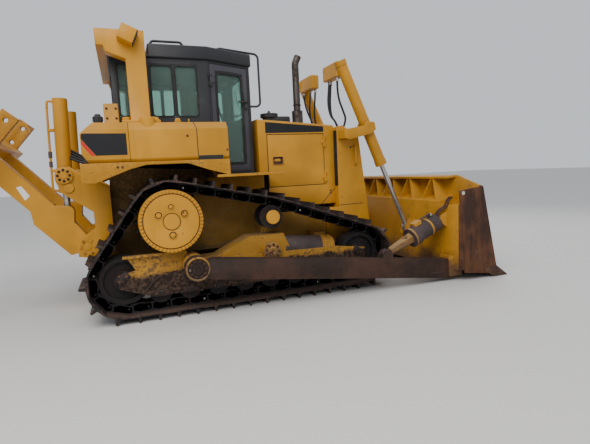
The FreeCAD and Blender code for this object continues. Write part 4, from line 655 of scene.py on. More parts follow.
def closed(work: bmesh.types.BMesh, name: str) -> bpy.types.Mesh:
    """Turn a bmesh into a mesh and free it.

    Args:
        work: The bmesh.
        name: The mesh's name.

    Returns:
        The mesh.
    """
    mesh = bpy.data.meshes.new(name)
    work.to_mesh(mesh)
    work.free()
    return mesh


def smooth_by_angle(mesh: bpy.types.Mesh, degrees: float = 32.0) -> None:
    """Shade a mesh smooth, with hard edges where faces meet at more than an angle.

    Args:
        mesh: The mesh.
        degrees: The angle.
    """
    for polygon in mesh.polygons:
        polygon.use_smooth = True
    mesh.set_sharp_from_angle(angle=math.radians(degrees))


def evaluated(held: bpy.types.Object) -> bpy.types.Mesh:
    """Plain mesh of an object with its modifiers applied."""
    return bpy.data.meshes.new_from_object(held.evaluated_get(bpy.context.evaluated_depsgraph_get()))


def circle(radius: float, count: int) -> list:
    """Pairs of coordinates evenly spaced on a circle."""
    turns = (2 * math.pi * i / count for i in range(count))
    return [(radius * math.cos(t), radius * math.sin(t)) for t in turns]


def rounded_corners(limits: tuple, radius: float, steps: int = 5) -> list:
    """Outline of a rectangle with round corners.

    Args:
        limits: Lowest and highest first and second coordinate.
        radius: Corner radius.
        steps: Facets at each corner.

    Returns:
        Points round it.
    """
    a0, a1, b0, b1 = limits
    points = []
    for quarter, (a, b) in enumerate(((a1 - radius, b1 - radius), (a0 + radius, b1 - radius),
                                      (a0 + radius, b0 + radius), (a1 - radius, b0 + radius))):
        for step in range(steps + 1):
            turn = math.pi / 2 * (quarter + step / steps)
            points.append((a + radius * math.cos(turn), b + radius * math.sin(turn)))
    return points


def band(work: bmesh.types.BMesh, first: list, second: list) -> list:
    """Close the strip between two rings of vertices and return its faces."""
    return [work.faces.new((first[i - 1], first[i], second[i], second[i - 1])) for i in range(len(first))]


def round_edges(work: bmesh.types.BMesh, edges: list, width: float, segments: int = 2,
                sharp: Callable[[Vector], bool] | None = None) -> None:
    """Round the hard ones among some edges.

    Args:
        work: The bmesh.
        edges: The edges to choose from.
        width: Width of the rounds in metres.
        segments: Steps over each round.
        sharp: Tells whether the edges at a point stay sharp.
    """
    hard = [e for e in edges if len(e.link_faces) == 2 and e.calc_face_angle(0.0) > HARD_EDGE
            and not (sharp and any(sharp(v.co) for v in e.verts))]
    bmesh.ops.bevel(work, geom=hard, offset=width, segments=segments, affect="EDGES", profile=0.5,
                    clamp_overlap=True)


class Piece:
    """One visible piece in the making: solids gathered in one bmesh."""

    def __init__(self, shop: "Workshop", name: str, finish: Finish, body: str) -> None:
        """Start an empty piece, which a finish covers and which rides on a body."""
        self.shop, self.name, self.finish, self.body = shop, name, finish, body
        self.mesh = bmesh.new()

    def _added(self, verts: list, width: float) -> "Piece":
        """Round the edges of newly added vertices, if a width is given."""
        if width > 0:
            round_edges(self.mesh, {e: None for v in verts for e in v.link_edges}, width)
        return self

    def _outwards(self, faces: list) -> "Piece":
        """Turn newly added faces outwards."""
        bmesh.ops.recalc_face_normals(self.mesh, faces=faces)
        return self

    def _ring(self, points: list) -> list:
        """Add vertices at points."""
        return [self.mesh.verts.new(p) for p in points]

    def box(self, low: Point, high: Point, bevel: float = 0.0, turn: Matrix | None = None) -> "Piece":
        """Add a box between two corners.

        Args:
            low: Lowest corner.
            high: Highest corner.
            bevel: Round of its edges.
            turn: Matrix that places it afterwards.

        Returns:
            The piece itself.
        """
        matrix = Matrix.Translation((Vector(high) + Vector(low)) / 2)
        matrix = (turn or Matrix()) @ matrix @ Matrix.Diagonal((*(Vector(high) - Vector(low)), 1.0))
        return self._added(bmesh.ops.create_cube(self.mesh, size=1.0, matrix=matrix)["verts"], bevel)

    def rod(self, start: Point, end: Point, radius: float, top: float | None = None, sides: int = 28,
            bevel: float = 0.0) -> "Piece":
        """Add a round bar or a cone from start to end.

        Args:
            start: Middle of the first end.
            end: Middle of the second end.
            radius: Radius at the start.
            top: Radius at the end, if it differs.
            sides: Facets round it.
            bevel: Round of its end edges.

        Returns:
            The piece itself.
        """
        a, b = Vector(start), Vector(end)
        made = bmesh.ops.create_cone(self.mesh, cap_ends=True, segments=sides, radius1=radius,
                                     radius2=radius if top is None else top, depth=(b - a).length,
                                     matrix=facing((a + b) / 2, b - a))
        return self._added(made["verts"], bevel)

    def prism(self, outline: list, low: float, high: float, bevel: float = 0.0) -> "Piece":
        """Add an outline in X and Z, carried across the machine.

        Args:
            outline: Points round it.
            low: First place along Y.
            high: Second place along Y.
            bevel: Round of its edges.

        Returns:
            The piece itself.
        """
        first, last = (self._ring([(x, y, z) for x, z in outline]) for y in (low, high))
        self._outwards([self.mesh.faces.new(first), self.mesh.faces.new(last[::-1]), *band(self.mesh, last, first)])
        return self._added(first + last, bevel)

    def lathe(self, centre: Point, axis: Point, profile: list, sides: int = 32) -> "Piece":
        """Add a turned solid, closed by flat faces at both ends of its profile.

        Args:
            centre: Where the axis starts.
            axis: The axis' direction.
            profile: Points of distance along the axis and radius, from end to end.
            sides: Facets round it.

        Returns:
            The piece itself.
        """
        place = facing(centre, axis)
        rings = [self._ring([place @ Vector((a, b, along)) for a, b in circle(radius, sides)])
                 for along, radius in profile]
        faces = [self.mesh.faces.new(rings[0][::-1]), self.mesh.faces.new(rings[-1])]
        for lower, upper in zip(rings, rings[1:]):
            faces += band(self.mesh, lower, upper)
        return self._outwards(faces)

    def cap(self, centre: Point, axis: Point, *profile: tuple, sides: int = 32) -> "Piece":
        """Add a turned solid, whose profile leaves out the two points on the axis that close it."""
        return self.lathe(centre, axis, [(0, 0.0), *profile, (profile[-1][0], 0.0)], sides)

    def tube(self, points: list, radius: float, sides: int = 12) -> "Piece":
        """Add a round tube through points, eased at every corner.

        Args:
            points: The path's control points.
            radius: Its radius.
            sides: Facets round it.

        Returns:
            The piece itself.
        """
        curve = bpy.data.curves.new(self.name + "_path", "CURVE")
        curve.dimensions = "3D"
        spline = curve.splines.new("NURBS")
        spline.points.add(len(points) - 1)
        for target, point in zip(spline.points, points):
            target.co = (*point, 1.0)
        spline.order_u, spline.use_endpoint_u, spline.resolution_u = 3, True, 8
        carrier = bpy.data.objects.new(curve.name, curve)
        line = bpy.data.meshes.new_from_object(carrier)
        path = [v.co.copy() for v in line.vertices]
        bpy.data.objects.remove(carrier)
        bpy.data.curves.remove(curve)
        bpy.data.meshes.remove(line)
        rings, across = [], None
        for before, point, after in zip(path[:1] + path, path, path[1:] + path[-1:]):
            ahead = (after - before).normalized()
            across = ahead.orthogonal().normalized() if across is None else across
            across = (across - ahead * across.dot(ahead)).normalized()
            other = ahead.cross(across)
            rings.append(self._ring([point + across * a + other * b for a, b in circle(radius, sides)]))
        faces = [self.mesh.faces.new(ring) for ring in (rings[0], rings[-1])]
        for lower, upper in zip(rings, rings[1:]):
            faces += band(self.mesh, lower, upper)
        return self._outwards(faces)

    def ring_plate(self, hole: tuple, width: float, corner: float, low: float, high: float) -> "Piece":
        """Add a frame with rounded corners round an opening, flat in X and Z.

        Args:
            hole: The opening: x from, x to, z from, z to.
            width: Width of the frame's limbs.
            corner: Radius of the opening's corners.
            low: First place along Y.
            high: Second place along Y.

        Returns:
            The piece itself.
        """
        x0, x1, z0, z1 = hole
        rings = [self._ring([(x, y, z) for x, z in rounded_corners((x0 - grow, x1 + grow, z0 - grow, z1 + grow),
                                                                   corner + grow)])
                 for grow, y in ((0.0, low), (width, low), (width, high), (0.0, high))]
        return self._outwards([face for i in range(4) for face in band(self.mesh, rings[i - 1], rings[i])])

    def moved(self, matrix: Matrix) -> "Piece":
        """Place all that the piece holds so far by a matrix."""
        bmesh.ops.transform(self.mesh, matrix=matrix, verts=self.mesh.verts[:])
        return self

    def for_side(self, side: Side) -> "Piece":
        """Reflect a piece that was drawn on the right when it belongs on the left.

        Args:
            side: The side that the piece belongs on.

        Returns:
            The piece itself.
        """
        if side is Side.LEFT:
            for v in self.mesh.verts:
                v.co.y = -v.co.y
            bmesh.ops.reverse_faces(self.mesh, faces=self.mesh.faces[:])
        return self

    def mirrored(self) -> "Piece":
        """Add the piece's own mirror image on the machine's other side.

        Returns:
            The piece itself.
        """
        held = self.mesh
        copy = bmesh.ops.duplicate(held, geom=held.verts[:] + held.edges[:] + held.faces[:])["geom"]
        for v in copy:
            if isinstance(v, bmesh.types.BMVert):
                v.co.y = -v.co.y
        bmesh.ops.reverse_faces(held, faces=[f for f in copy if isinstance(f, bmesh.types.BMFace)])
        return self

    def done(self, flat: bool = False) -> bpy.types.Object:
        """Turn the piece into an object that rides on its body.

        Args:
            flat: Leave its faces flat-shaded.

        Returns:
            The new object.
        """
        mesh = closed(self.mesh, self.name)
        if not flat:
            smooth_by_angle(mesh)
        return self.shop.place(mesh, self.name, self.finish, self.body)


class Workshop:
    """The frame, the materials and the ways of adding pieces."""

    def __init__(self, frame: dict) -> None:
        """Keep the frame and build every finish once.
        """
        self.nodes = frame["nodes"]
        self.body_of = {node: body for body, nodes in frame["record"]["behaviour"]["bodies"].items()
                        for node in nodes}
        self.materials = {finish: recipe.build(finish.material) for finish, recipe in FINISHES.items()}
        self.copies = CopyTree()

    def piece(self, name: str, finish: Finish, body: str = "tractor") -> Piece:
        """Start an empty piece."""
        return Piece(self, name, finish, body)

    def place(self, mesh: bpy.types.Mesh, name: str, finish: Finish, body: str, *replaced: str) -> bpy.types.Object:
        """Put a finished mesh in the scene.

        Args:
            mesh: The mesh, placed in the row frame.
            name: The piece's name.
            finish: Its finish.
            body: The body that it rides on.
            replaced: CAD nodes that it stands for.

        Returns:
            The new object.
        """
        mesh.materials.clear()
        mesh.materials.append(self.materials[finish])
        made = shown(name, mesh)
        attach(made, body)
        if replaced:
            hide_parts(*replaced)
        LOG.info("%s: %d faces on %s", name, len(mesh.polygons), body)
        return made

    def copied(self, name: str, template: bpy.types.Mesh, frames: list, finish: Finish, body: str = "tractor",
               jitter: float = 0.0) -> bpy.types.Object:
        """Place one piece with a copy of a template on every frame.

        Args:
            name: The piece's name.
            template: The repeated shape, standing on +Z at the origin.
            frames: Matrices, one for each copy.
            finish: The copies' finish.
            body: The body that they ride on.
            jitter: Largest turn of a copy about its own axis, in radians.

        Returns:
            The new object.
        """
        mesh = self.copies.bake(name, template, frames, self.materials[finish], jitter)
        return self.place(mesh, name, finish, body)

    def dress(self, finish: Finish, *nodes: str) -> None:
        """Give CAD nodes that stay a finish.

        Args:
            finish: The finish.
            nodes: The nodes' names.
        """
        for node in nodes:
            held = self.nodes[node].data
            held.materials.clear()
            held.materials.append(self.materials[finish])

    def rounded(self, node: str, finish: Finish, width: float = 0.006, segments: int = 2,
                sharp: Callable[[Vector], bool] | None = None,
                cutter: bpy.types.Mesh | None = None) -> bpy.types.Object:
        """Stand a copy with rounded edges in for a CAD node.

        Args:
            node: The node's name.
            finish: The copy's finish.
            width: Width of the rounds in metres.
            segments: Steps over each round.
            sharp: Tells whether the edges at a point stay sharp.
            cutter: Closed solid that is taken off first.

        Returns:
            The new object.
        """
        work = bmesh.new()
        work.from_mesh(self.nodes[node].data)
        bmesh.ops.remove_doubles(work, verts=work.verts, dist=WELD)
        if cutter is not None:
            work = self.cut(work, cutter)
        bmesh.ops.dissolve_limit(work, angle_limit=FLAT, verts=work.verts, edges=work.edges)
        round_edges(work, work.edges, width, segments, sharp)
        bmesh.ops.triangulate(work, faces=[f for f in work.faces if len(f.verts) > 4])
        name = node + "_rounded"
        mesh = closed(work, name)
        smooth_by_angle(mesh)
        return self.place(mesh, name, finish, self.body_of[node], node)

    def cut(self, work: bmesh.types.BMesh, cutter: bpy.types.Mesh) -> bmesh.types.BMesh:
        """Take one solid off another.

        Args:
            work: The solid; it is freed.
            cutter: What is taken off.

        Returns:
            The solid that is left.
        """
        body, tool = shown("cut", closed(work, "cut")), shown("cutter", cutter)
        modifier = body.modifiers.new("cut", "BOOLEAN")
        modifier.object, modifier.operation, modifier.solver = tool, "DIFFERENCE", "EXACT"
        left = bmesh.new()
        left.from_mesh(evaluated(body))
        bmesh.ops.remove_doubles(left, verts=left.verts, dist=WELD)
        for held in (body, tool):
            bpy.data.objects.remove(held)
        return left


class CopyTree:
    """Geometry Nodes that set copies of a template on turned points and bake them."""

    seed = 7
    sockets = (("Geometry", "NodeSocketGeometry"), ("Template", "NodeSocketObject"),
               ("Jitter", "NodeSocketFloat"), ("Seed", "NodeSocketInt"), ("Finish", "NodeSocketMaterial"))
    kinds = (("source", "NodeGroupInput"), ("sink", "NodeGroupOutput"), ("info", "GeometryNodeObjectInfo"),
             ("spin", "GeometryNodeInputNamedAttribute"), ("jitter", "FunctionNodeRandomValue"),
             ("turn", "ShaderNodeCombineXYZ"), ("copies", "GeometryNodeInstanceOnPoints"),
             ("rotate", "GeometryNodeRotateInstances"), ("real", "GeometryNodeRealizeInstances"),
             ("paint", "GeometryNodeSetMaterial"), ("negative", "ShaderNodeMath"))
    links = (("source", "Template", "info", "Object"), ("source", "Geometry", "copies", "Points"),
             ("info", "Geometry", "copies", "Instance"), ("spin", "Attribute", "copies", "Rotation"),
             ("source", "Jitter", "negative", 0), ("negative", 0, "jitter", 2), ("source", "Jitter", "jitter", 3),
             ("source", "Seed", "jitter", "Seed"), ("jitter", 1, "turn", "Z"), ("copies", 0, "rotate", "Instances"),
             ("turn", 0, "rotate", "Rotation"), ("rotate", 0, "real", 0), ("real", 0, "paint", "Geometry"),
             ("source", "Finish", "paint", "Material"), ("paint", 0, "sink", 0))

    def __init__(self) -> None:
        """Build the tree with its named inputs."""
        self.tree = tree = bpy.data.node_groups.new("set_copies_on_points", "GeometryNodeTree")
        self.inputs = {name: tree.interface.new_socket(name=name, in_out="INPUT", socket_type=kind).identifier
                       for name, kind in self.sockets}
        tree.interface.new_socket(name="Geometry", in_out="OUTPUT", socket_type="NodeSocketGeometry")
        made = {name: tree.nodes.new(kind) for name, kind in self.kinds}
        made["spin"].data_type = "FLOAT_VECTOR"
        made["spin"].inputs["Name"].default_value = "spin"
        made["jitter"].data_type = "FLOAT"
        made["negative"].operation = "MULTIPLY"
        made["negative"].inputs[1].default_value = -1.0
        for first, output, second, entry in self.links:
            tree.links.new(made[first].outputs[output], made[second].inputs[entry])

    def bake(self, name: str, template: bpy.types.Mesh, frames: list, material: bpy.types.Material,
             jitter: float) -> bpy.types.Mesh:
        """Set the template on every frame and bake the result.

        Args:
            name: Name of the new mesh.
            template: The repeated shape, standing on +Z at the origin.
            frames: Matrices, one for each copy.
            material: The copies' material.
            jitter: Largest turn of a copy about its own axis, in radians.

        Returns:
            One plain mesh.
        """
        points = bpy.data.meshes.new(name + "_points")
        points.from_pydata([m.to_translation() for m in frames], [], [])
        spin = points.attributes.new("spin", "FLOAT_VECTOR", "POINT")
        for entry, matrix in zip(spin.data, frames):
            entry.vector = matrix.to_euler("XYZ")
        model, carrier = shown(name + "_template", template), shown(name + "_carrier", points)
        modifier = carrier.modifiers.new("copies", "NODES")
        modifier.node_group = self.tree
        values = {"Template": model, "Jitter": jitter, "Seed": self.seed, "Finish": material}
        for key, value in values.items():
            modifier[self.inputs[key]] = value
        mesh = evaluated(carrier)
        mesh.name = name
        carrier.modifiers.clear()
        for held in (carrier, model):
            bpy.data.objects.remove(held)
        smooth_by_angle(mesh)
        return mesh


def hex_head(radius: float, height: float, washer: float = 0.0) -> bpy.types.Mesh:
    """Bolt head with a washer, standing on +Z at the origin.

    Args:
        radius: Corner radius of the hexagon.
        height: Height of the head.
        washer: Thickness of the washer, 0 for none.

    Returns:
        The template mesh.
    """
    work = bmesh.new()
    stack = ((12, radius * 1.35, radius * 1.3, 0.0, washer), (6, radius, radius * 0.9, washer, height))
    for sides, low, high, foot, depth in stack:
        if depth:
            bmesh.ops.create_cone(work, cap_ends=True, segments=sides, radius1=low, radius2=high, depth=depth,
                                  matrix=Matrix.Translation((0, 0, foot + depth / 2)))
    return closed(work, "hex_head")


@dataclass
class Bolts:
    """Bolts of one size on one body, gathered and then baked as one piece."""

    shop: Workshop
    name: str
    radius: float
    height: float
    finish: Finish
    body: str = "tractor"
    frames: list = field(default_factory=list)

    def at(self, place: Point, normal: Point) -> None:
        """Add one bolt."""
        self.frames.append(facing(place, normal))

    def ring(self, centre: Point, normal: Point, radius: float, count: int) -> None:
        """Add a circle of bolts."""
        self.frames += [facing(centre, normal) @ Matrix.Translation((a, b, 0)) for a, b in circle(radius, count)]

    def done(self) -> bpy.types.Object:
        """Bake the bolts into one piece."""
        head = hex_head(self.radius, self.height, self.height * 0.25)
        return self.shop.copied(self.name, head, self.frames, self.finish, self.body, BOLT_TURN)


# The track chains


@dataclass
class TrackChain:
    """Link plates, pin bosses and shoe bolts on both fixed track loops."""

    shop: Workshop
    pitch: float = 0.203
    count: int = 40
    ground_pin: float = 0.128
    idler_radius: float = 0.310
    rear_idler: float = -1.383
    carrier: tuple = (0.310, 1.000, 0.173)
    sprocket: tuple = (-0.859, 1.059)
    teeth: int = 23
    middle_y: float = 0.940
    rail_face: float = 0.108    # middle of the chain to the outer side of its rails
    shoe_face: float = 0.066    # pin line to the outer face of a shoe
    boss: float = 0.022         # height of a link's pin boss
    bright_every: int = 7       # links from one rubbed pin to the next

    def wheels(self, front_idler: float) -> list:
        """Wheels in the order that the chain meets them: x, z, pin radius.

        Args:
            front_idler: Place of the front idler along X.

        Returns:
            The four wheels.
        """
        level = self.ground_pin + self.idler_radius
        return [(front_idler, level, self.idler_radius), self.carrier,
                (*self.sprocket, self.pitch * self.teeth / (4 * math.pi)),
                (self.rear_idler, level, self.idler_radius)]

    def runs(self, front_idler: float) -> list:
        """Arcs and straight runs of the pin line, from the front idler upwards.

        Args:
            front_idler: Place of the front idler along X.

        Returns:
            Kind, length and data of each run.
        """
        wheels = self.wheels(front_idler)
        pairs = list(zip(wheels, wheels[1:] + wheels[:1]))
        angles = []
        for (x, z, radius), (x2, z2, radius2) in pairs:
            lean = math.asin((radius - radius2) / math.hypot(x2 - x, z2 - z))
            angles.append(math.atan2(z2 - z, x2 - x) - math.pi / 2 + lean)
        made = []
        for i, ((x, z, radius), (x2, z2, radius2)) in enumerate(pairs):
            turn = (angles[i] - angles[i - 1]) % (2 * math.pi)
            made.append(("arc", radius * turn, (x, z, radius, angles[i - 1])))
            c, s = math.cos(angles[i]), math.sin(angles[i])
            start, end = (x + radius * c, z + radius * s), (x2 + radius2 * c, z2 + radius2 * s)
            made.append(("line", math.dist(start, end), (start, end)))
        return made

    def tight_runs(self) -> list:
        """Runs for the front idler place that makes the chain just tight.

        Returns:
            The runs.
        """
        low, high = self.rear_idler + 2 * self.idler_radius, self.rear_idler + self.pitch * self.count / 2
        for _ in range(40):
            middle = (low + high) / 2
            if sum(run[1] for run in self.runs(middle)) < self.pitch * self.count:
                low = middle
            else:
                high = middle
        return self.runs((low + high) / 2)

    def frame_at(self, runs: list, links: float, y: float) -> Matrix:
        """Frame on the pin line: +Z outwards, +X ahead.

        Args:
            runs: The chain's runs.
            links: Distance along the pin line, in links.
            y: Place across the machine.

        Returns:
            The frame as a matrix.
        """
        distance = links * self.pitch % (self.pitch * self.count)
        for kind, length, data in runs:
            if distance <= length + 1e-9:
                break
            distance -= length
        if kind == "arc":
            x, z, radius, enter = data
            angle = enter + distance / radius
            out = Vector((math.cos(angle), 0, math.sin(angle)))
            place = Vector((x, y, z)) + out * radius
        else:
            (x0, z0), (x1, z1) = data
            share = distance / length
            place = Vector((x0 + (x1 - x0) * share, y, z0 + (z1 - z0) * share))
            out = Vector((z1 - z0, 0, -(x1 - x0))).normalized()
        ahead = Vector((-out.z, 0, out.x))
        turn = Matrix((ahead, out.cross(ahead), out)).transposed().to_4x4()
        return Matrix.Translation(place) @ turn

    def link_template(self) -> bpy.types.Mesh:
        """One link's outer plate with its pin bosses, along +X at the origin, 12 mm proud of the rail.

        Returns:
            The template mesh.
        """
        work = bmesh.new()
        half = self.pitch / 2
        outline = [(-half - 0.03, -0.03), (-half - 0.03, 0.028), (-0.02, 0.044), (half - 0.05, 0.03),
                   (half - 0.05, -0.022), (0.0, -0.042)]
        low, high = ([work.verts.new((x, y, z)) for x, z in outline] for y in (0.0, 0.012))
        work.faces.new(low[::-1])
        work.faces.new(high)
        band(work, low, high)
        for x, radius, height in ((-half, 0.036, self.boss), (half - 0.09, 0.02, 0.018)):
            matrix = Matrix.Translation((x, height / 2, 0)) @ Matrix.Rotation(math.pi / 2, 4, "X")
            bmesh.ops.create_cone(work, cap_ends=True, segments=12, radius1=radius, radius2=radius * 0.92,
                                  depth=height, matrix=matrix)
        bmesh.ops.recalc_face_normals(work, faces=work.faces)
        return closed(work, "link_plate")

    def build(self) -> None:
        """Dress both loops and bake their links, shoe bolts and pins."""
        runs = self.tight_runs()
        flip = Matrix.Rotation(math.pi, 4, "Z")
        for side in Side:
            self.shop.dress(Finish.CHAIN, f"track_{side.label}")
            plates, shoe_bolts, pins, rubbed = [], [], [], []
            for link in range(self.count):
                for face in (-1, 1):
                    y = side.sign * self.middle_y + face * self.rail_face
                    frame = self.frame_at(runs, link + 0.5, y)
                    plates.append(frame if face > 0 else frame @ flip)
                    pin = self.frame_at(runs, link, y).to_translation()
                    held = rubbed if link % self.bright_every == 2 else pins
                    held.append(facing(pin + Vector((0, face * self.boss, 0)), (0, face, 0)))
                for share in (0.3, 0.72):
                    for offset in (-0.135, -0.085, 0.085, 0.135):
                        frame = self.frame_at(runs, link + share, side.sign * self.middle_y + offset)
                        shoe_bolts.append(frame @ Matrix.Translation((0, 0, self.shoe_face)))
            for name, template, frames, finish, jitter in (
                    ("track_links", self.link_template(), plates, Finish.CHAIN, 0.0),
                    ("shoe_bolts", hex_head(0.016, 0.011), shoe_bolts, Finish.CHAIN, BOLT_TURN),
                    ("track_pins", hex_head(0.013, 0.006), pins, Finish.CHAIN, BOLT_TURN),
                    ("rubbed_track_pins", hex_head(0.013, 0.006), rubbed, Finish.BOLT, BOLT_TURN)):
                self.shop.copied(f"{name}_{side.label}", template, frames, finish, jitter=jitter)


@dataclass
class Undercarriage:
    """Track frames, rollers, hub covers, pivot and trunnion caps."""

    shop: Workshop
    hub: Point = (-0.859, 1.248, 1.059)
    trunnion: Point = (-0.655, 1.495, 0.562)
    pivot: Point = (0.268, 1.170, 0.600)
    carrier: Point = (0.310, 1.130, 1.000)
    rollers: int = 7
    roller_first: float = -1.010
    roller_step: float = 0.318
    roller_z: float = 0.2733
    frame_face: float = 1.110   # outer face of the track frames
    # Bosses on the hub cover: angle, radius of their circle, boss radius
    bosses: tuple = ((30, 0.155, 0.045), (150, 0.152, 0.045), (270, 0.145, 0.046), (90, 0.158, 0.035))
    # Keeps at the ends of the guards: x, z, turn
    end_keeps: tuple = ((-1.395, 0.478, -35), (1.445, 0.470, 30))
    recoil: tuple = ((0.470, 0.940, 0.598), (0.965, 0.940, 0.552), 0.1435)

    def build(self) -> None:
        """Dress the nodes and add the caps and bolts of both sides."""
        for side in Side:
            self.shop.dress(Finish.FRAME, f"track_frame_{side.label}")
            self.shop.dress(Finish.CHAIN, f"running_wheels_{side.label}", f"sprocket_{side.label}")
            for add in (self.hub_cover, self.trunnion_cap, self.frame_caps, self.recoil_housing):
                add(side)

    def hub_cover(self, side: Side) -> None:
        """Final drive cover with its rim bolts and bosses.

        Args:
            side: The side of the machine.
        """
        out = side.out
        cover = self.shop.piece(f"hub_cover_{side.label}", Finish.YELLOW)
        cover.lathe(side.at(self.hub, -0.15), out,
                    [(0, 0.29), (0.0, 0.337), (0.138, 0.337), (0.148, 0.333), (0.1505, 0.298), (0.1505, 0.290),
                     (0.1575, 0.284), (0.1575, 0.105), (0.1545, 0.100), (0.1545, 0.092), (0.1590, 0.087),
                     (0.1595, 0.0)], sides=72)
        plugs = Bolts(self.shop, f"hub_plugs_{side.label}", 0.017, 0.004, Finish.DIRTY_YELLOW)
        groove = self.shop.piece(f"hub_groove_{side.label}", Finish.ARM)
        x, y, z = self.hub
        for angle, ring, radius in self.bosses:
            turn = math.radians(angle)
            middle = (x + ring * math.cos(turn), y, z + ring * math.sin(turn))
            cover.lathe(side.at(middle, 0.004), out,
                        [(0, radius + 0.001), (0.010, radius + 0.001), (0.013, radius * 0.92),
                         (0.013, radius * 0.86), (0.0075, radius * 0.80), (0.0075, 0.0)], sides=24)
            inner, outer = radius * 0.60, radius * 0.82
            groove.lathe(side.at(middle, 0.009), out,
                         [(0, inner), (0, outer), (0.0037, outer), (0.0037, inner), (0, inner)], sides=24)
            plugs.at(side.at(middle, 0.0115), out)
        cover.done()
        plugs.done()
        groove.lathe(side.at(self.hub, 0.001), out,
                     [(0, 0.0850), (0, 0.0920), (0.0092, 0.0920), (0.0092, 0.0850), (0, 0.0850)], sides=48)
        groove.lathe(side.at(self.hub, -0.002), out,
                     [(0, 0.289), (0, 0.299), (0.0035, 0.299), (0.0035, 0.289)], sides=72)
        groove.done()
        rim = Bolts(self.shop, f"hub_rim_bolts_{side.label}", 0.0150, 0.013, Finish.YELLOW)
        rim.ring(side.at(self.hub), out, 0.316, 50)
        rim.done()

    def trunnion_cap(self, side: Side) -> None:
        """Cap over the push arm's ball joint: painted ring, rusty face and dark boss.

        Args:
            side: The side of the machine.
        """
        out = side.out
        base = side.at(self.trunnion, -0.020)
        self.shop.piece(f"trunnion_ring_{side.label}", Finish.DIRTY_YELLOW, "blade_frame").lathe(
            base, out, [(0, 0.108), (0.0, 0.127), (0.018, 0.129), (0.024, 0.123), (0.024, 0.112), (0.014, 0.108)],
            sides=44).done()
        self.shop.piece(f"trunnion_face_{side.label}", Finish.ARM, "blade_frame").cap(
            base, out, (0, 0.109), (0.014, 0.109), (0.015, 0.060), (0.024, 0.056), (0.024, 0.030), (0.018, 0.026),
            sides=44).done()
        bolts = Bolts(self.shop, f"trunnion_bolts_{side.label}", 0.013, 0.010, Finish.EDGE, "blade_frame")
        bolts.ring(side.at(self.trunnion, -0.006), out, 0.085, 10)
        bolts.done()

    def frame_caps(self, side: Side) -> None:
        """Pivot, carrier, roller and idler caps with their bolts.

        Args:
            side: The side of the machine.
        """
        out = side.out
        bolts = Bolts(self.shop, f"frame_bolts_{side.label}", 0.013, 0.011, Finish.EDGE)
        self.shop.piece(f"pivot_cap_{side.label}", Finish.DIRTY_YELLOW).cap(
            side.at(self.pivot, -0.002), out, (0.0, 0.106), (0.016, 0.102), (0.018, 0.055), (0.030, 0.050),
            (0.030, 0.022), (0.020, 0.018), sides=36).done()
        bolts.ring(side.at(self.pivot, 0.013), out, 0.080, 9)
        self.shop.piece(f"carrier_cap_{side.label}", Finish.YELLOW).lathe(
            side.at(self.carrier, -0.002), out,
            [(0, 0.0), (0, 0.084), (0.012, 0.084), (0.018, 0.078), (0.020, 0.0)], sides=36).done()
        face = side.sign * self.frame_face
        keeps = self.shop.piece(f"roller_keeps_{side.label}", Finish.CHAIN)
        for i in range(self.rollers):
            at = self.roller_first + i * self.roller_step
            keeps.box((at - 0.085, face - 0.012, self.roller_z - 0.035),
                      (at + 0.085, face + 0.012, self.roller_z + 0.03), bevel=0.006)
            for dx in (-0.055, 0.055):
                bolts.at((at + dx, face + side.sign * 0.012, self.roller_z), out)
        for x, z, turn in self.end_keeps:
            place = Matrix.Translation((x, face, z)) @ Matrix.Rotation(math.radians(turn), 4, "Y")
            keeps.box((-0.075, -0.014, -0.045), (0.075, 0.014, 0.045), bevel=0.008, turn=place)
            for dx in (-0.045, 0.045):
                bolts.at(place @ Vector((dx, side.sign * 0.014, 0)), out)
        # Folded edge and gussets under the shelf that runs back from the trunnion
        y = face + side.sign * 0.004
        keeps.rod((-1.19, y, 0.30), (-1.03, y, 0.46), 0.011, sides=8)
        keeps.rod((-1.03, y, 0.46), (-0.90, y, 0.34), 0.011, sides=8)
        keeps.done()
        bolts.done()

    def recoil_housing(self, side: Side) -> None:
        """Brown sleeve round the recoil spring with its clamp rings.

        Args:
            side: The side of the machine.
        """
        first, last, radius = self.recoil
        start, end = Vector(side.at(first)), Vector(side.at(last))
        along = (end - start).normalized()
        sleeve = self.shop.piece(f"recoil_sleeve_{side.label}", Finish.BARREL)
        sleeve.rod(start, end, radius, sides=44, bevel=0.004).done()
        rings = self.shop.piece(f"recoil_rings_{side.label}", Finish.FRAME)
        for at in (0.52, 0.60):
            rings.rod(start + along * at, start + along * (at + 0.028), radius + 0.012, sides=44, bevel=0.004)
        rings.done()


# Body panels


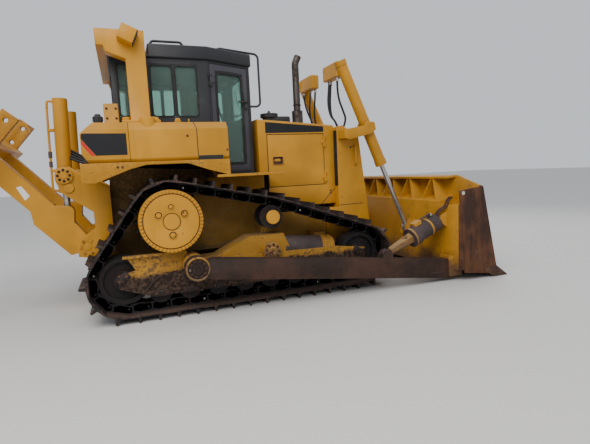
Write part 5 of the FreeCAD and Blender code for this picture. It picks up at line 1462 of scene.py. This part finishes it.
@dataclass
class BodyPanels:
    """Hood, guard, doors, fenders and tanks with seams, films, handles and bolts."""

    shop: Workshop
    # Right face of the hood, the radiator guard, the tanks and the fenders
    hood: float = -0.500
    guard: float = -0.600
    tank: float = -1.200
    fender: float = -1.210
    film_low: float = -0.0016   # outer face of a film, from the sheet under it
    film_high: float = 0.001
    latch: tuple = (0.630, 1.680)
    filler: Point = (-1.494, -0.950, 2.110)
    lamp: Point = (-1.140, -1.1053, 2.990)     # work light on the rollover frame
    lamp_turn: float = 24.0                     # its slope, degrees

    def build(self) -> None:
        """Round the panels and add what is fixed on them."""
        for node in ("hood", "engine_door_left", "engine_door_right", "radiator_guard", "fuel_tank",
                     "side_tank_left", "side_tank_right", "rollover_frame", "work_lights"):
            self.shop.rounded(node, Finish.YELLOW)
        for node in ("fender_left", "fender_right"):
            # Fenders: soil and painted shade on their inner walls.
            self.shop.rounded(node, Finish.WELL)
        # Main frame in the darker yellow that paints the shade under the fenders.
        self.shop.dress(Finish.HULL, "main_frame")
        self.shop.dress(Finish.IRON, "engine_block")
        self.shop.rounded("grille", Finish.BLACK, width=0.001, segments=1)
        for add in (self.films, self.seams, self.latches, self.tank_fittings, self.lamps, self.hood_fittings,
                    self.bolts):
            add()

    def films(self) -> None:
        """Bare black films on the hood and the fuel tank's ends, with a red stripe."""
        for name, finish, y, outline in (
                ("hood_film", Finish.DECAL, self.hood,
                 [(0.475, 2.034), (1.304, 2.040), (1.304, 2.112), (0.475, 2.176)]),
                ("tank_film", Finish.DECAL, self.tank,
                 [(-1.642, 1.997), (-1.655, 1.984), (-1.658, 1.944), (-1.533, 1.776), (-1.236, 1.776),
                  (-1.236, 1.992)]),
                ("tank_stripe", Finish.STRIPE, self.tank,
                 [(-1.658, 1.938), (-1.657, 1.890), (-1.575, 1.776), (-1.538, 1.776)])):
            film = self.shop.piece(name, finish).prism(outline, y + self.film_low, y + self.film_high)
            film.mirrored().done(flat=True)

    def seams(self) -> None:
        """Dark joints between sheets, and a black strip behind the radiator guard that paints the shadow gap there."""
        seams = self.shop.piece("panel_seams", Finish.RUBBER)
        hood, guard, tank = self.hood, self.guard, self.tank
        for path in (((1.236, hood, 1.064), (1.449, hood, 1.262)),
                     ((1.462, guard, 1.030), (1.832, guard, 1.036)),
                     ((-0.520, tank, 1.738), (-0.520, tank, 2.035), (-0.541, tank + 0.075, 2.110),
                      (-0.541, tank + 0.345, 2.110))):
            for start, end in zip(path, path[1:]):
                seams.rod(start, end, 0.0042, sides=8)
        # Black strip that paints the shadow gap between the hood and the radiator guard.
        seams.box((1.4500, guard + 0.003, 1.300), (1.4553, hood - 0.003, 2.050))
        seams.box((-0.515, tank - 0.0006, 1.7005), (-0.250, tank + 0.028, 1.746))
        seams.mirrored().done(flat=True)

    def latches(self) -> None:
        """Edge line and recessed latch of each engine door, with its raised rim and paddle."""
        x, z = self.latch
        y = self.hood
        for side in Side:
            body = f"engine_door_{side.label}"
            edge = self.shop.piece(f"engine_door_edge_{side.label}", Finish.RUBBER, body)
            edge.ring_plate((0.4960, 1.2950, 1.3340, 2.0100), 0.0055, 0.003, y - 0.0010, y + 0.0040)
            edge.for_side(side).done(flat=True)
            rim = self.shop.piece(f"latch_rim_{side.label}", Finish.YELLOW, body)
            rim.ring_plate((x - 0.070, x + 0.076, z - 0.060, z + 0.044), 0.009, 0.006, y - 0.006, y + 0.003)
            rim.for_side(side).done()
            cup = self.shop.piece(f"latch_cup_{side.label}", Finish.RUST, body)
            cup.ring_plate((x - 0.0585, x + 0.0585, z - 0.0385, z + 0.0385), 0.0005, 0.002, y + 0.0120, y + 0.0135)
            cup.ring_plate((x - 0.056, x + 0.056, z - 0.036, z + 0.036), 0.0130, 0.002, y - 0.0012, y + 0.001)
            cup.box((x - 0.069, y - 0.0012, z - 0.060), (x + 0.075, y + 0.001, z - 0.0485))
            cup.box((x - 0.0592, y + 0.0125, z - 0.0392), (x + 0.0592, y + 0.0137, z + 0.0392))
            cup.for_side(side).done(flat=True)
            paddle = self.shop.piece(f"latch_paddle_{side.label}", Finish.DIRTY_YELLOW, body)
            paddle.box((x - 0.036, y + 0.003, z - 0.016), (x + 0.030, y + 0.009, z + 0.018), bevel=0.002)
            paddle.rod((x - 0.045, y + 0.012, z), (x - 0.045, y + 0.004, z), 0.008, sides=16)
            paddle.rod((x + 0.041, y + 0.012, z), (x + 0.041, y + 0.005, z), 0.007, sides=16)
            paddle.for_side(side).done()

    def tank_fittings(self) -> None:
        """Filler cap, pads, lifting lugs and post sockets."""
        x, y, z = self.filler
        filler = self.shop.piece("filler_cap", Finish.PLASTIC)
        filler.cap(self.filler, UP, (0, 0.052), (0.012, 0.052), (0.014, 0.046), (0.078, 0.046), (0.084, 0.040),
                   (0.084, 0.030), (0.102, 0.029), (0.105, 0.024), sides=36)
        for a, b in circle(0.046, 8):
            filler.rod((x + a, y + b, z + 0.030), (x + a, y + b, z + 0.078), 0.006, sides=8)
        filler.done()
        lugs = self.shop.piece("tank_lugs", Finish.YELLOW)
        for at, half in ((-0.694, 0.040), (-0.912, 0.030)):
            lugs.prism([(at - half, 2.108), (at - half * 0.55, 2.160), (at + half * 0.55, 2.160), (at + half, 2.108)],
                       -1.075, -1.053, bevel=0.005)
        lugs.rod((-0.578, -1.080, 2.108), (-0.578, -1.080, 2.148), 0.008, sides=12, bevel=0.002)
        for at in (-1.215, -0.925):
            lugs.cap((at, -0.985, 2.141), UP, (0, 0.042), (0.030, 0.042), (0.038, 0.036), (0.038, 0.016),
                     (0.030, 0.014), sides=28)
        lugs.cap((-1.012, -1.100, 1.990), UP, (0, 0.078), (0.166, 0.078), (0.174, 0.070), (0.174, 0.046),
                 (0.162, 0.040), sides=36)
        lugs.mirrored().done()

    def lamps(self) -> None:
        """Lens and bezel of each work light."""
        spin = Matrix.Translation(self.lamp) @ Matrix.Rotation(math.radians(self.lamp_turn), 4, "Y")
        lens = self.shop.piece("lamp_lenses", Finish.LENS)
        lens.box((0.079, -0.062, -0.062), (0.084, 0.062, 0.062), bevel=0.002).moved(spin).mirrored().done()
        bezel = self.shop.piece("lamp_bezels", Finish.RUBBER)
        for (y0, z0), (y1, z1) in (((-0.073, 0.060), (0.073, 0.073)), ((-0.073, -0.073), (0.073, -0.060)),
                                   ((-0.073, -0.060), (-0.060, 0.060)), ((0.060, -0.060), (0.073, 0.060))):
            bezel.box((0.078, y0, z0), (0.087, y1, z1), bevel=0.002)
        bezel.moved(spin).mirrored().done()

    def hood_fittings(self) -> None:
        """Intake duct, coolant cap, exhaust clamps and the guard's handles."""
        duct = self.shop.piece("intake_duct", Finish.PLASTIC)
        duct.box((0.600, -0.345, 2.170), (0.895, -0.165, 2.272), bevel=0.022)
        duct.cap((0.620, -0.250, 2.310), UP, (0, 0.034), (0.012, 0.032), (0.024, 0.018), (0.040, 0.016), sides=20)
        duct.cap((1.250, 0.200, 2.140), UP, (0, 0.060), (0.022, 0.060), (0.028, 0.050), sides=28)
        duct.done()
        clamp = self.shop.piece("exhaust_clamps", Finish.ARM)
        for at in (2.338, 2.420):
            clamp.lathe((1.035, -0.250, at), UP, [(0, 0.046), (0.0, 0.0535), (0.020, 0.0535), (0.020, 0.046)],
                        sides=36)
            clamp.box((1.020, -0.318, at + 0.002), (1.050, -0.298, at + 0.018), bevel=0.002)
        clamp.done()
        bars = self.shop.piece("guard_handles", Finish.YELLOW)
        x, y = 1.716, self.guard
        near, far = y + 0.002, y - 0.042
        bars.tube([(x, near, 1.838), (x, far, 1.838), (x, far, 1.805), (x, far, 1.615), (x, far, 1.582),
                   (x, near, 1.582)], 0.011)
        for at in (1.838, 1.582):
            bars.rod((x, y + 0.001, at), (x, y - 0.007, at), 0.024, sides=24, bevel=0.002)
        bars.mirrored().done()
        # Black discs paint the shade inside the guard's holes.
        hole_shade = self.shop.piece("guard_holes", Finish.RUBBER)
        hole_shade.rod((1.662, y + 0.001, 1.815), (1.662, y - 0.0012, 1.815), 0.013, sides=20)
        hole_shade.mirrored().done(flat=True)

    def bolts(self) -> None:
        """Bolts of the sheets, tanks and posts."""
        bolts = Bolts(self.shop, "panel_bolts", 0.010, 0.007, Finish.YELLOW)
        dark = Bolts(self.shop, "dark_panel_bolts", 0.010, 0.006, Finish.RUST)
        rows = (
            (bolts, self.guard, ((1.50, 1.15), (1.50, 1.45), (1.50, 1.75), (1.84, 1.15), (1.82, 1.35))),
            (bolts, self.fender, ((-1.60, 1.62), (-0.30, 1.66), (-0.22, 1.60), (0.30, 1.515), (-1.0, 1.685))),
            (dark, self.fender, ((-1.341, 1.653), (-1.297, 1.651))),
            (dark, self.tank, ((-0.622, 1.957), (-0.199, 1.799))),
            (dark, self.hood, ((0.62, 1.20), (1.38, 1.20), (0.62, 1.235), (1.38, 1.235))),
        )
        for side in Side:
            for held, y, places in rows:
                for x, z in places:
                    held.at((x, -side.sign * y, z), side.out)
            for x in (-1.240, -0.890):
                for y in (0.880, 1.050):
                    bolts.at((x, side.sign * y, 2.142), UP)
        for z in (2.165, 2.265):
            for x in (-1.40, -1.31):
                dark.at((x, -1.020, z), (0, -1, 0))
        bolts.done()
        dark.done()


@dataclass
class CabTrim:
    """Cab shell, glass, seals, handles, seat and controls."""

    shop: Workshop
    floor: float = 1.5706
    wall: float = -0.760
    door_foot: Point = (-0.280, -0.760, 0.0)
    door_turn: float = 24.146
    door_window: tuple = (0.110, 0.5156, 1.650, 2.750)     # along the door's wall from and to, z from and to
    door_inset: float = 0.024   # edge of a window to the inner edge of its seal
    pane_inset: float = 0.014
    panes: tuple = ((-1.270, -0.985), (-0.925, -0.675), (-0.655, -0.400))
    pane_low: float = 2.210
    pane_high: float = 2.790
    # Foot and tip of the front and the rear wiper
    wipers: tuple = (((0.306, 0.0, 2.240), (0.309, 0.230, 2.610)), ((-1.336, 0.10, 2.800), (-1.339, -0.20, 2.460)))

    def build(self) -> None:
        """Dress the cab and add its trim."""
        self.shop.rounded("cab_frame", Finish.BLACK)
        self.shop.rounded("cab_roof", Finish.BLACK, width=0.02, segments=3)
        for node in ("cab_door_left", "cab_door_right"):
            self.shop.rounded(node, Finish.CAB)
        self.shop.dress(Finish.GLASS, "cab_door_glass_left", "cab_door_glass_right", "cab_windows")
        self.shop.dress(Finish.BLACK, "grab_rails")
        self.shop.rounded("console", Finish.PLASTIC, width=0.012, segments=3)
        for add in (self.seals, self.door_levers, self.outside, self.controls, self.seat):
            add()

    def door_place(self) -> Matrix:
        """Frame of the right door's wall: X along it from the pillar, Y inwards."""
        return Matrix.Translation(self.door_foot) @ Matrix.Rotation(math.radians(self.door_turn), 4, "Z")

    def seals(self) -> None:
        """Rubber seals with round corners on every window."""
        inset = self.door_inset
        u0, u1, z0, z1 = self.door_window
        for side in Side:
            seal = self.shop.piece(f"door_seal_{side.label}", Finish.RUBBER, f"cab_door_{side.label}")
            seal.ring_plate((u0 + inset, u1 - inset, z0 + inset, z1 - inset), 0.033, 0.050, -0.003, 0.0165)
            seal.moved(self.door_place()).for_side(side).done()
        seals = self.shop.piece("window_seals", Finish.RUBBER)
        inset = self.pane_inset
        for x0, x1 in self.panes:
            seals.ring_plate((x0 + inset, x1 - inset, self.pane_low + inset, self.pane_high - inset), 0.020, 0.030,
                             self.wall - 0.003, self.wall + 0.0165)
        seals.mirrored().done()
        cross = self.shop.piece("front_and_rear_seals", Finish.RUBBER)
        cross.ring_plate((-0.412, 0.412, 2.278, 2.782), 0.026, 0.050, -0.303, -0.2835)
        cross.ring_plate((-0.582, 0.582, 2.178, 2.772), 0.026, 0.050, 1.3135, 1.333)
        cross.moved(Matrix.Rotation(math.pi / 2, 4, "Z")).done()

    def door_levers(self) -> None:
        """Black lever with its grip, and the lock of each door."""
        for side in Side:
            lever = self.shop.piece(f"door_lever_{side.label}", Finish.RUBBER, f"cab_door_{side.label}")
            lever.rod((0.415, -0.030, 2.413), (0.560, -0.030, 2.413), 0.0095, sides=16, bevel=0.003)
            lever.box((0.530, -0.036, 2.385), (0.566, 0.001, 2.440), bevel=0.008)
            lever.rod((0.548, 0.001, 2.335), (0.548, -0.008, 2.335), 0.014, sides=20, bevel=0.002)
            lever.moved(self.door_place()).for_side(side).done()

    def outside(self) -> None:
        """Rail flanges, wipers, roof hatch and the grille of the roof unit."""
        trim = self.shop.piece("cab_outside_trim", Finish.BLACK)
        for x, y in ((-0.880, -0.600), (-0.520, -0.600), (-0.110, -0.475)):
            trim.cap((x, y, 3.0095), UP, (0, 0.030), (0.006, 0.030), (0.010, 0.018), sides=24)
        trim.box((-0.905, -0.7625, 2.795), (-0.405, -0.757, 2.815), bevel=0.002)
        trim.mirrored()
        trim.box((-0.780, -0.300, 3.008), (-0.200, 0.300, 3.030), bevel=0.010)
        for i in range(9):
            trim.box((-0.74, -0.26 + i * 0.062, 3.028), (-0.24, -0.24 + i * 0.062, 3.036), bevel=0.002)
        for ends in self.wipers:
            foot, tip = (Vector(end) for end in ends)
            out = Vector((math.copysign(1, foot.x), 0, 0))
            reach = (tip - foot).normalized() * 0.17
            trim.cap(foot - out * 0.006, out, (0, 0.022), (0.014, 0.020), sides=20)
            trim.rod(foot + out * 0.006, tip, 0.005, sides=8)
            trim.rod(tip - reach - out * 0.003, tip + reach * 0.6, 0.006, sides=8)
        trim.done()

    def controls(self) -> None:
        """Pods with joysticks, levers, pedals and a monitor."""
        z = self.floor
        pods = self.shop.piece("control_pods", Finish.PLASTIC)
        pods.box((-0.86, -0.455, z + 0.42), (-0.42, -0.345, z + 0.53), bevel=0.030)
        pods.box((-0.76, -0.43, z - 0.001), (-0.62, -0.37, z + 0.43), bevel=0.010)
        pods.mirrored()
        pods.box((0.055, -0.130, z + 0.63), (0.100, 0.130, z + 0.76), bevel=0.014)
        pods.done()
        sticks = self.shop.piece("control_levers", Finish.RUBBER)
        sticks.rod((-0.47, -0.40, z + 0.52), (-0.445, -0.40, z + 0.62), 0.009, sides=12)
        sticks.cap((-0.447, -0.40, z + 0.61), (0.2, 0, 1), (0, 0.018), (0.04, 0.024), (0.075, 0.022), (0.09, 0.010),
                   sides=20)
        sticks.mirrored()
        for y in (-0.22, -0.17):
            sticks.rod((0.03, y, z + 0.56), (-0.055, y, z + 0.80), 0.007, sides=10)
            sticks.cap((-0.055, y, z + 0.79), (-0.3, 0, 1), (0, 0.012), (0.015, 0.020), (0.032, 0.019),
                       (0.042, 0.008), sides=16)
        for y in (-0.12, 0.02, 0.14):
            sticks.box((-0.045, y - 0.035, z + 0.09), (-0.025, y + 0.035, z + 0.20), bevel=0.004)
            sticks.rod((-0.030, y, z + 0.14), (0.085, y, z + 0.22), 0.008, sides=8)
        sticks.done()

    def seat(self) -> None:
        """Padded seat, back and arm rests in place of the plain CAD seat."""
        z = self.floor
        base = self.shop.piece("seat_base", Finish.PLASTIC)
        base.box((-0.90, -0.18, z + 0.001), (-0.56, 0.18, z + 0.33), bevel=0.03).done()
        cushion = self.pad("seat_cushion", (-0.975, -0.245, z + 0.335), (-0.475, 0.245, z + 0.448))
        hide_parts("seat")
        back = self.pad("seat_back", (-1.125, -0.235, z + 0.46), (-0.985, 0.235, z + 1.0), lean=-0.06)
        rests = self.shop.piece("arm_rests", Finish.PLASTIC)
        rests.box((-1.0, -0.33, z + 0.60), (-0.62, -0.26, z + 0.66), bevel=0.02)
        rests.box((-0.98, -0.29, z + 0.40), (-0.93, -0.26, z + 0.62), bevel=0.008)
        rests.mirrored().done()

    def pad(self, name: str, low: Point, high: Point, lean: float = 0.0) -> bpy.types.Object:
        """Crowned cushion with sewn channels.

        Args:
            name: The piece's name.
            low: Lowest corner.
            high: Highest corner.
            lean: Shift of its top along X.

        Returns:
            The finished piece.
        """
        work = bmesh.new()
        size = Vector(high) - Vector(low)
        bmesh.ops.create_cube(work, size=1.0)
        bmesh.ops.subdivide_edges(work, edges=work.edges[:], cuts=9, use_grid_fill=True)
        for v in work.verts:
            x, y, z = v.co * 2
            edge = max(0.0, 1 - (max(abs(x), abs(y)) ** 6) * 0.5)
            crowned = Vector((x * (1 - 0.04 * z * z), y * (1 - 0.03 * z * z),
                              z * (0.72 + 0.28 * edge) * (1 - 0.05 * math.cos(y * 9)))) / 2
            v.co = Vector(low) + (crowned + Vector((0.5, 0.5, 0.5))) * size
            v.co.x += lean * (v.co.z - low[2]) / size.z
        mesh = closed(work, name)
        smooth_by_angle(mesh, 60)
        return self.shop.place(mesh, name, Finish.CLOTH, "tractor")


@dataclass
class Implements:
    """Blade, push arms, cylinders and ripper."""

    shop: Workshop
    trunnion: tuple = (-0.655, 0.562)           # x and z
    ball: float = 0.104         # radius round the trunnion within which the arms stay sharp
    ripper_pin: Point = (-1.900, -0.520, 1.600)
    ripper_foot: Point = (-1.735, 0.6433, 0.790)
    pin_cap_face: float = 0.6673
    tilt_start: Point = (1.668, -1.420, 0.455)
    tilt_end: Point = (2.530, -1.352, 0.792)
    # Front face of the blade's skin as x and z: lower edge, middle and top, at the corner and at the end
    skin_corner: tuple = ((3.090, 0.150), (2.925, 0.640), (2.875, 1.370))
    skin_end: tuple = ((3.230, 0.150), (3.065, 0.640), (3.015, 1.215))
    corner_y: float = 1.330
    end_y: float = 1.630
    plate_y: float = 1.597      # just inside the end plates
    skin_from: float = 0.42     # where skin_line starts, as a share of the face's arc
    skin_share: float = 0.565   # share of the arc that it follows
    skin_steps: int = 24
    skin_depth: float = 0.004   # depth within which a point counts as on the face
    front_slip: float = 0.003   # cutter's face ahead of the skin's
    front_reach: float = 3.400  # far side of the cutter
    edge_slope: Point = (0.643, 0.0, 0.766)     # normal of the cutting edge's face

    def skin_line(self, y: float) -> list:
        """Points of the skin's front face from its middle to its top, at one place across the machine.

        Args:
            y: The place.

        Returns:
            Pairs of x and z.
        """
        share = max(0.0, (abs(y) - self.corner_y) / (self.end_y - self.corner_y))
        lines = []
        for points in (self.skin_corner, self.skin_end):
            (ax, az), (bx, bz), (cx, cz) = points
            d = 2 * (ax * (bz - cz) + bx * (cz - az) + cx * (az - bz))
            sa, sb, sc = ax * ax + az * az, bx * bx + bz * bz, cx * cx + cz * cz
            x0 = (sa * (bz - cz) + sb * (cz - az) + sc * (az - bz)) / d
            z0 = (sa * (cx - bx) + sb * (ax - cx) + sc * (bx - ax)) / d
            radius = math.hypot(ax - x0, az - z0)
            first, last = (math.atan2(z - z0, x0 - x) for x, z in (points[0], points[2]))
            turns = [first + (last - first) * (self.skin_from + self.skin_share * i / self.skin_steps)
                     for i in range(self.skin_steps + 1)]
            lines.append([(x0 - radius * math.cos(t), z0 + radius * math.sin(t)) for t in turns])
        return [(a[0] + (b[0] - a[0]) * share, a[1] + (b[1] - a[1]) * share) for a, b in zip(*lines)]

    def near_front(self, point: Vector) -> bool:
        """Whether a point lies on or ahead of the skin's front face.

        Args:
            point: A point of the blade.

        Returns:
            True on or ahead of the face.
        """
        line = self.skin_line(point.y)
        if abs(point.y) > self.plate_y or not line[0][1] < point.z < line[-1][1]:
            return False
        x, _ = min(line, key=lambda p: abs(p[1] - point.z))
        return point.x > x - self.skin_depth

    def front_space(self) -> bpy.types.Mesh:
        """Space ahead of the skin, which takes off what stands through it.

        Returns:
            The space as a closed solid.
        """
        work = bmesh.new()
        rings = []
        for y in (-self.plate_y, -self.corner_y, self.corner_y, self.plate_y):
            line = [(x + self.front_slip, z) for x, z in self.skin_line(y)]
            line += [(self.front_reach, line[-1][1]), (self.front_reach, line[0][1])]
            rings.append([work.verts.new((x, y, z)) for x, z in line])
        work.faces.new(rings[0])
        work.faces.new(rings[-1][::-1])
        for low, high in zip(rings, rings[1:]):
            band(work, high, low)
        bmesh.ops.triangulate(work, faces=work.faces[:])
        bmesh.ops.recalc_face_normals(work, faces=work.faces[:])
        return closed(work, "front_space")

    def at_ball(self, point: Vector) -> bool:
        """Whether a point of a push arm lies round its ball joint."""
        x, z = self.trunnion
        return math.hypot(point.x - x, point.z - z) < self.ball

    def build(self) -> None:
        """Round and dress the nodes, then add caps, pipes and bolts."""
        self.shop.rounded("blade", Finish.BLADE, width=0.004, sharp=self.near_front, cutter=self.front_space())
        self.shop.rounded("cutting_edge", Finish.EDGE, width=0.003)
        self.shop.rounded("push_arms", Finish.ARM, width=0.012, segments=3, sharp=self.at_ball)
        self.shop.dress(Finish.BARREL, "tilt_cylinder", "tilt_brace")
        self.shop.dress(Finish.YELLOW, "lift_barrels", "ripper_barrels")
        self.shop.dress(Finish.CHROME, "lift_rods", "ripper_rods")
        for node in ("ripper_bracket", "ripper_frame"):
            self.shop.rounded(node, Finish.YELLOW, width=0.008)
        self.shop.rounded("ripper_shanks", Finish.SHANK, width=0.008)
        for add in (self.tilt_trim, self.lift_hoses, self.ripper_pipes, self.ripper_trim, self.edge_bolts):
            add()

    def tilt_trim(self) -> None:
        """Bands, rod end, pipe, fitting and hoses of the tilt cylinder."""
        start, end = Vector(self.tilt_start), Vector(self.tilt_end)
        along = (end - start).normalized()
        above = (Vector(UP) - along * along.z).normalized()

        def at(distance: float, lift: float = 0.0) -> Vector:
            """Point at a distance along the cylinder, lifted off its axis."""
            return start + along * distance + above * lift

        bands = self.shop.piece("tilt_bands", Finish.DIRTY_YELLOW, "blade_frame")
        bands.lathe(at(0.412), along, [(0, 0.035), (0.0, 0.122), (0.010, 0.128), (0.030, 0.128), (0.030, 0.035)],
                    sides=40)
        bands.lathe(at(0.705), along, [(0, 0.110), (0.002, 0.119), (0.026, 0.119), (0.028, 0.110)], sides=40)
        bands.rod(at(0.055), at(0.415), 0.052, 0.078, sides=6, bevel=0.006)
        bands.box((-0.045, -0.006, 0.0), (0.045, 0.050, 0.12), bevel=0.006, turn=facing(at(0.50, 0.112), along))
        bands.done()
        pipe = self.shop.piece("tilt_pipe", Finish.BARREL, "blade_frame")
        pipe.tube([at(0.50, 0.10), at(0.50, 0.145), at(0.54, 0.150), at(0.76, 0.150), at(0.80, 0.146), at(0.80, 0.10)],
                  0.012)
        pipe.cap(at(0.80, 0.105), above, (0, 0.026), (0.024, 0.026), (0.026, 0.018), (0.052, 0.018), sides=18).done()
        fitting = self.shop.piece("tilt_fitting", Finish.BOLT, "blade_frame")
        fitting.cap(at(0.82, 0.11), above + Vector((0, -0.5, 0)), (0, 0.020), (0.030, 0.020), (0.032, 0.012),
                    (0.045, 0.012), sides=6).done(flat=True)
        hoses = self.shop.piece("tilt_hoses", Finish.RUST, "blade_frame")
        for y in (-1.407, -1.363):
            hoses.tube([(2.44, y, 0.84), (2.50, y, 0.93), (2.60, y - 0.02, 0.965), (2.625, y - 0.03, 1.06),
                        (2.70, y, 1.085)], 0.013)
        hoses.done()

    def lift_hoses(self) -> None:
        """Hoses that hang from the lift cylinders' head blocks to the guard."""
        hoses = self.shop.piece("lift_hoses", Finish.HOSE)
        ends = self.shop.piece("lift_hose_ends", Finish.BOLT, "lift_barrels")
        for points in (((1.500, -0.592, 2.790), (1.495, -0.590, 2.690), (1.520, -0.560, 2.480), (1.600, -0.548, 2.300),
                        (1.640, -0.545, 2.190), (1.600, -0.520, 2.090)),
                       ((1.510, -0.330, 2.790), (1.500, -0.330, 2.680), (1.470, -0.330, 2.440), (1.500, -0.345, 2.260),
                        (1.560, -0.370, 2.200), (1.590, -0.380, 2.085)),
                       ((1.560, -0.270, 2.790), (1.555, -0.270, 2.680), (1.530, -0.275, 2.440), (1.540, -0.290, 2.260),
                        (1.600, -0.310, 2.190), (1.640, -0.320, 2.060))):
            hoses.tube(points, 0.0145)
            x, y, _ = points[0]
            ends.rod((x, y, 2.765), (x, y, 2.700), 0.019, sides=6, bevel=0.002)
        made = hoses.mirrored().done()
        made.parent = None
        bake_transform(made)
        ends.mirrored().done(flat=True)

    def ripper_pipes(self) -> None:
        """Outside pipe of each ripper cylinder, and the hoses from its pins to the machine."""
        x, y, _ = self.ripper_pin
        pipe = self.shop.piece("ripper_pipes", Finish.DIRTY_YELLOW, "ripper_barrels")
        pipe.tube([(x - 0.010, y, 2.400), (x - 0.060, y, 2.412), (x - 0.100, y, 2.412), (x - 0.108, y, 2.380),
                   (x - 0.114, y, 2.20), (x - 0.132, y, 1.55), (x - 0.134, y, 1.475), (x - 0.130, y, 1.440),
                   (x - 0.060, y, 1.436)], 0.0125)
        for at in (2.10, 1.66):
            pipe.box((x - 0.128, y - 0.020, at - 0.016), (x - 0.060, y + 0.020, at + 0.016), bevel=0.004)
        pipe.mirrored().done()
        joint = self.shop.piece("ripper_pipe_joints", Finish.BARREL, "ripper_barrels")
        joint.rod((x - 0.1255, y, 1.80), (x - 0.1225, y, 1.87), 0.021, sides=6, bevel=0.002)
        joint.rod((x - 0.1280, y, 1.70), (x - 0.1260, y, 1.76), 0.019, sides=6, bevel=0.002)
        joint.mirrored().done(flat=True)
        hoses = self.shop.piece("ripper_hoses", Finish.HOSE)
        for i, shift in enumerate((-0.058, -0.020, 0.018, 0.056)):
            lift = 0.030 * i
            hoses.tube([(x + 0.350, y + shift, 1.745 + lift * 0.4), (x + 0.235, y + shift, 1.728 + lift * 0.6),
                        (x + 0.150, y + shift * 0.8, 1.745 + lift), (x + 0.060, y + shift * 0.6, 1.800 + lift)], 0.014)
        made = hoses.mirrored().done()
        made.parent = None
        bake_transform(made)

    def ripper_trim(self) -> None:
        """Pin caps with bolts, a boss below each, and a blank label on each arm."""
        x, _, z = self.ripper_pin
        caps = self.shop.piece("ripper_pin_caps", Finish.YELLOW)
        caps.cap((x, 0.003 - self.pin_cap_face, z), (0, -1, 0), (0, 0.091), (0.006, 0.090), (0.009, 0.084),
                 (0.009, 0.036), (0.014, 0.032), sides=36)
        caps.cap((-1.862, -0.6430, 1.462), (0, -1, 0), (0, 0.055), (0.010, 0.055), (0.016, 0.048), sides=28)
        caps.mirrored().done()
        bolts = Bolts(self.shop, "ripper_pin_bolts", 0.012, 0.008, Finish.ARM)
        foot = Bolts(self.shop, "ripper_foot_bolts", 0.014, 0.010, Finish.DIRTY_YELLOW)
        for side in Side:
            bolts.ring(side.at((x, self.pin_cap_face, z), 0.006), side.out, 0.060, 8)
            foot.ring(side.at(self.ripper_foot), side.out, 0.075, 6)
        bolts.done()
        foot.done()
        label = self.shop.piece("arm_labels", Finish.LABEL, "ripper")
        label.prism([(-2.370, 1.497), (-2.322, 1.510), (-2.252, 1.399), (-2.300, 1.352)], -0.6063, -0.6040)
        label.mirrored().done(flat=True)

    def edge_bolts(self) -> None:
        """Countersunk bolts along the cutting edge."""
        bolts = Bolts(self.shop, "cutting_edge_bolts", 0.017, 0.005, Finish.EDGE, "blade_frame")
        for i in range(17):
            bolts.at((3.145, -1.20 + 0.15 * i, 0.1165), self.edge_slope)
        bolts.done()


@dataclass
class Studio:
    """Floor, light and the photograph's camera."""

    place: Point = (-1.314, -6.088, 1.532)
    yaw: float = 20.956
    pitch: float = 6.607
    roll: float = -2.808
    lens: float = 27.04
    sensor: float = 36.0
    reach: float = 60.0         # half the floor's width
    aim: Point = (0.2, 0.0, 1.0)
    # Name, place, size and power of each light
    lamps: tuple = (("key_light", (-3.5, -7.0, 8.5), 7.0, 900.0), ("fill_light", (7.0, 3.0, 7.0), 8.0, 260.0))

    def build(self) -> None:
        """Make the floor, the lights and the camera."""
        self.floor()
        self.lights()
        self.camera()

    def floor(self) -> None:
        """Plain pale floor."""
        far = self.reach
        mesh = bpy.data.meshes.new("studio_floor")
        mesh.from_pydata([(-far, -far, 0), (far, -far, 0), (far, far, 0), (-far, far, 0)], [], [(0, 1, 2, 3)])
        mesh.materials.append(Graph("pale_floor").surface((0.62, 0.61, 0.59), 0.8))
        floor = shown("studio_floor", mesh)

    def lights(self) -> None:
        """Pale sky all round, with a broad key light and a fill light."""
        world = bpy.data.worlds.new("pale_sky")
        world.use_nodes = True
        sky = world.node_tree.nodes["Background"].inputs
        sky["Color"].default_value, sky["Strength"].default_value = (0.83, 0.87, 0.93, 1.0), 0.85
        bpy.context.scene.world = world
        for name, place, size, power in self.lamps:
            light = bpy.data.lights.new(name, "AREA")
            light.size, light.energy, light.color = size, power, (1.0, 0.97, 0.92)
            held = shown(name, light)
            held.location = place
            held.rotation_euler = (Vector(self.aim) - Vector(place)).to_track_quat("-Z", "Y").to_euler()

    def camera(self) -> None:
        """Camera with the photograph's place, direction and roll."""
        data = bpy.data.cameras.new("camera")
        data.sensor_width, data.lens, data.clip_end = self.sensor, self.lens, 200.0
        yaw, pitch, roll = (math.radians(a) for a in (self.yaw, self.pitch, self.roll))
        ahead = Vector((math.sin(yaw) * math.cos(pitch), math.cos(yaw) * math.cos(pitch), -math.sin(pitch)))
        level = Vector((math.cos(yaw), -math.sin(yaw), 0.0))
        right = level * math.cos(roll) + level.cross(ahead) * math.sin(roll)
        turn = Matrix((right, right.cross(ahead), -ahead)).transposed()
        held = shown("camera", data)
        held.matrix_world = Matrix.Translation(self.place) @ turn.to_4x4()
        bpy.context.scene.camera = held


def main() -> None:
    """Build the machine's looks in order."""
    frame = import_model()
    shop = Workshop(frame)
    Studio().build()
    for part in (TrackChain(shop), Undercarriage(shop), BodyPanels(shop), CabTrim(shop), Implements(shop)):
        part.build()
        LOG.info("%s is built", type(part).__name__)
    shop.dress(Finish.SOOT, "exhaust_stack")
    shop.dress(Finish.PLASTIC, "air_intake")


if __name__ == "__main__":
    logging.basicConfig(level=logging.INFO, format="%(name)s: %(message)s")
    main()
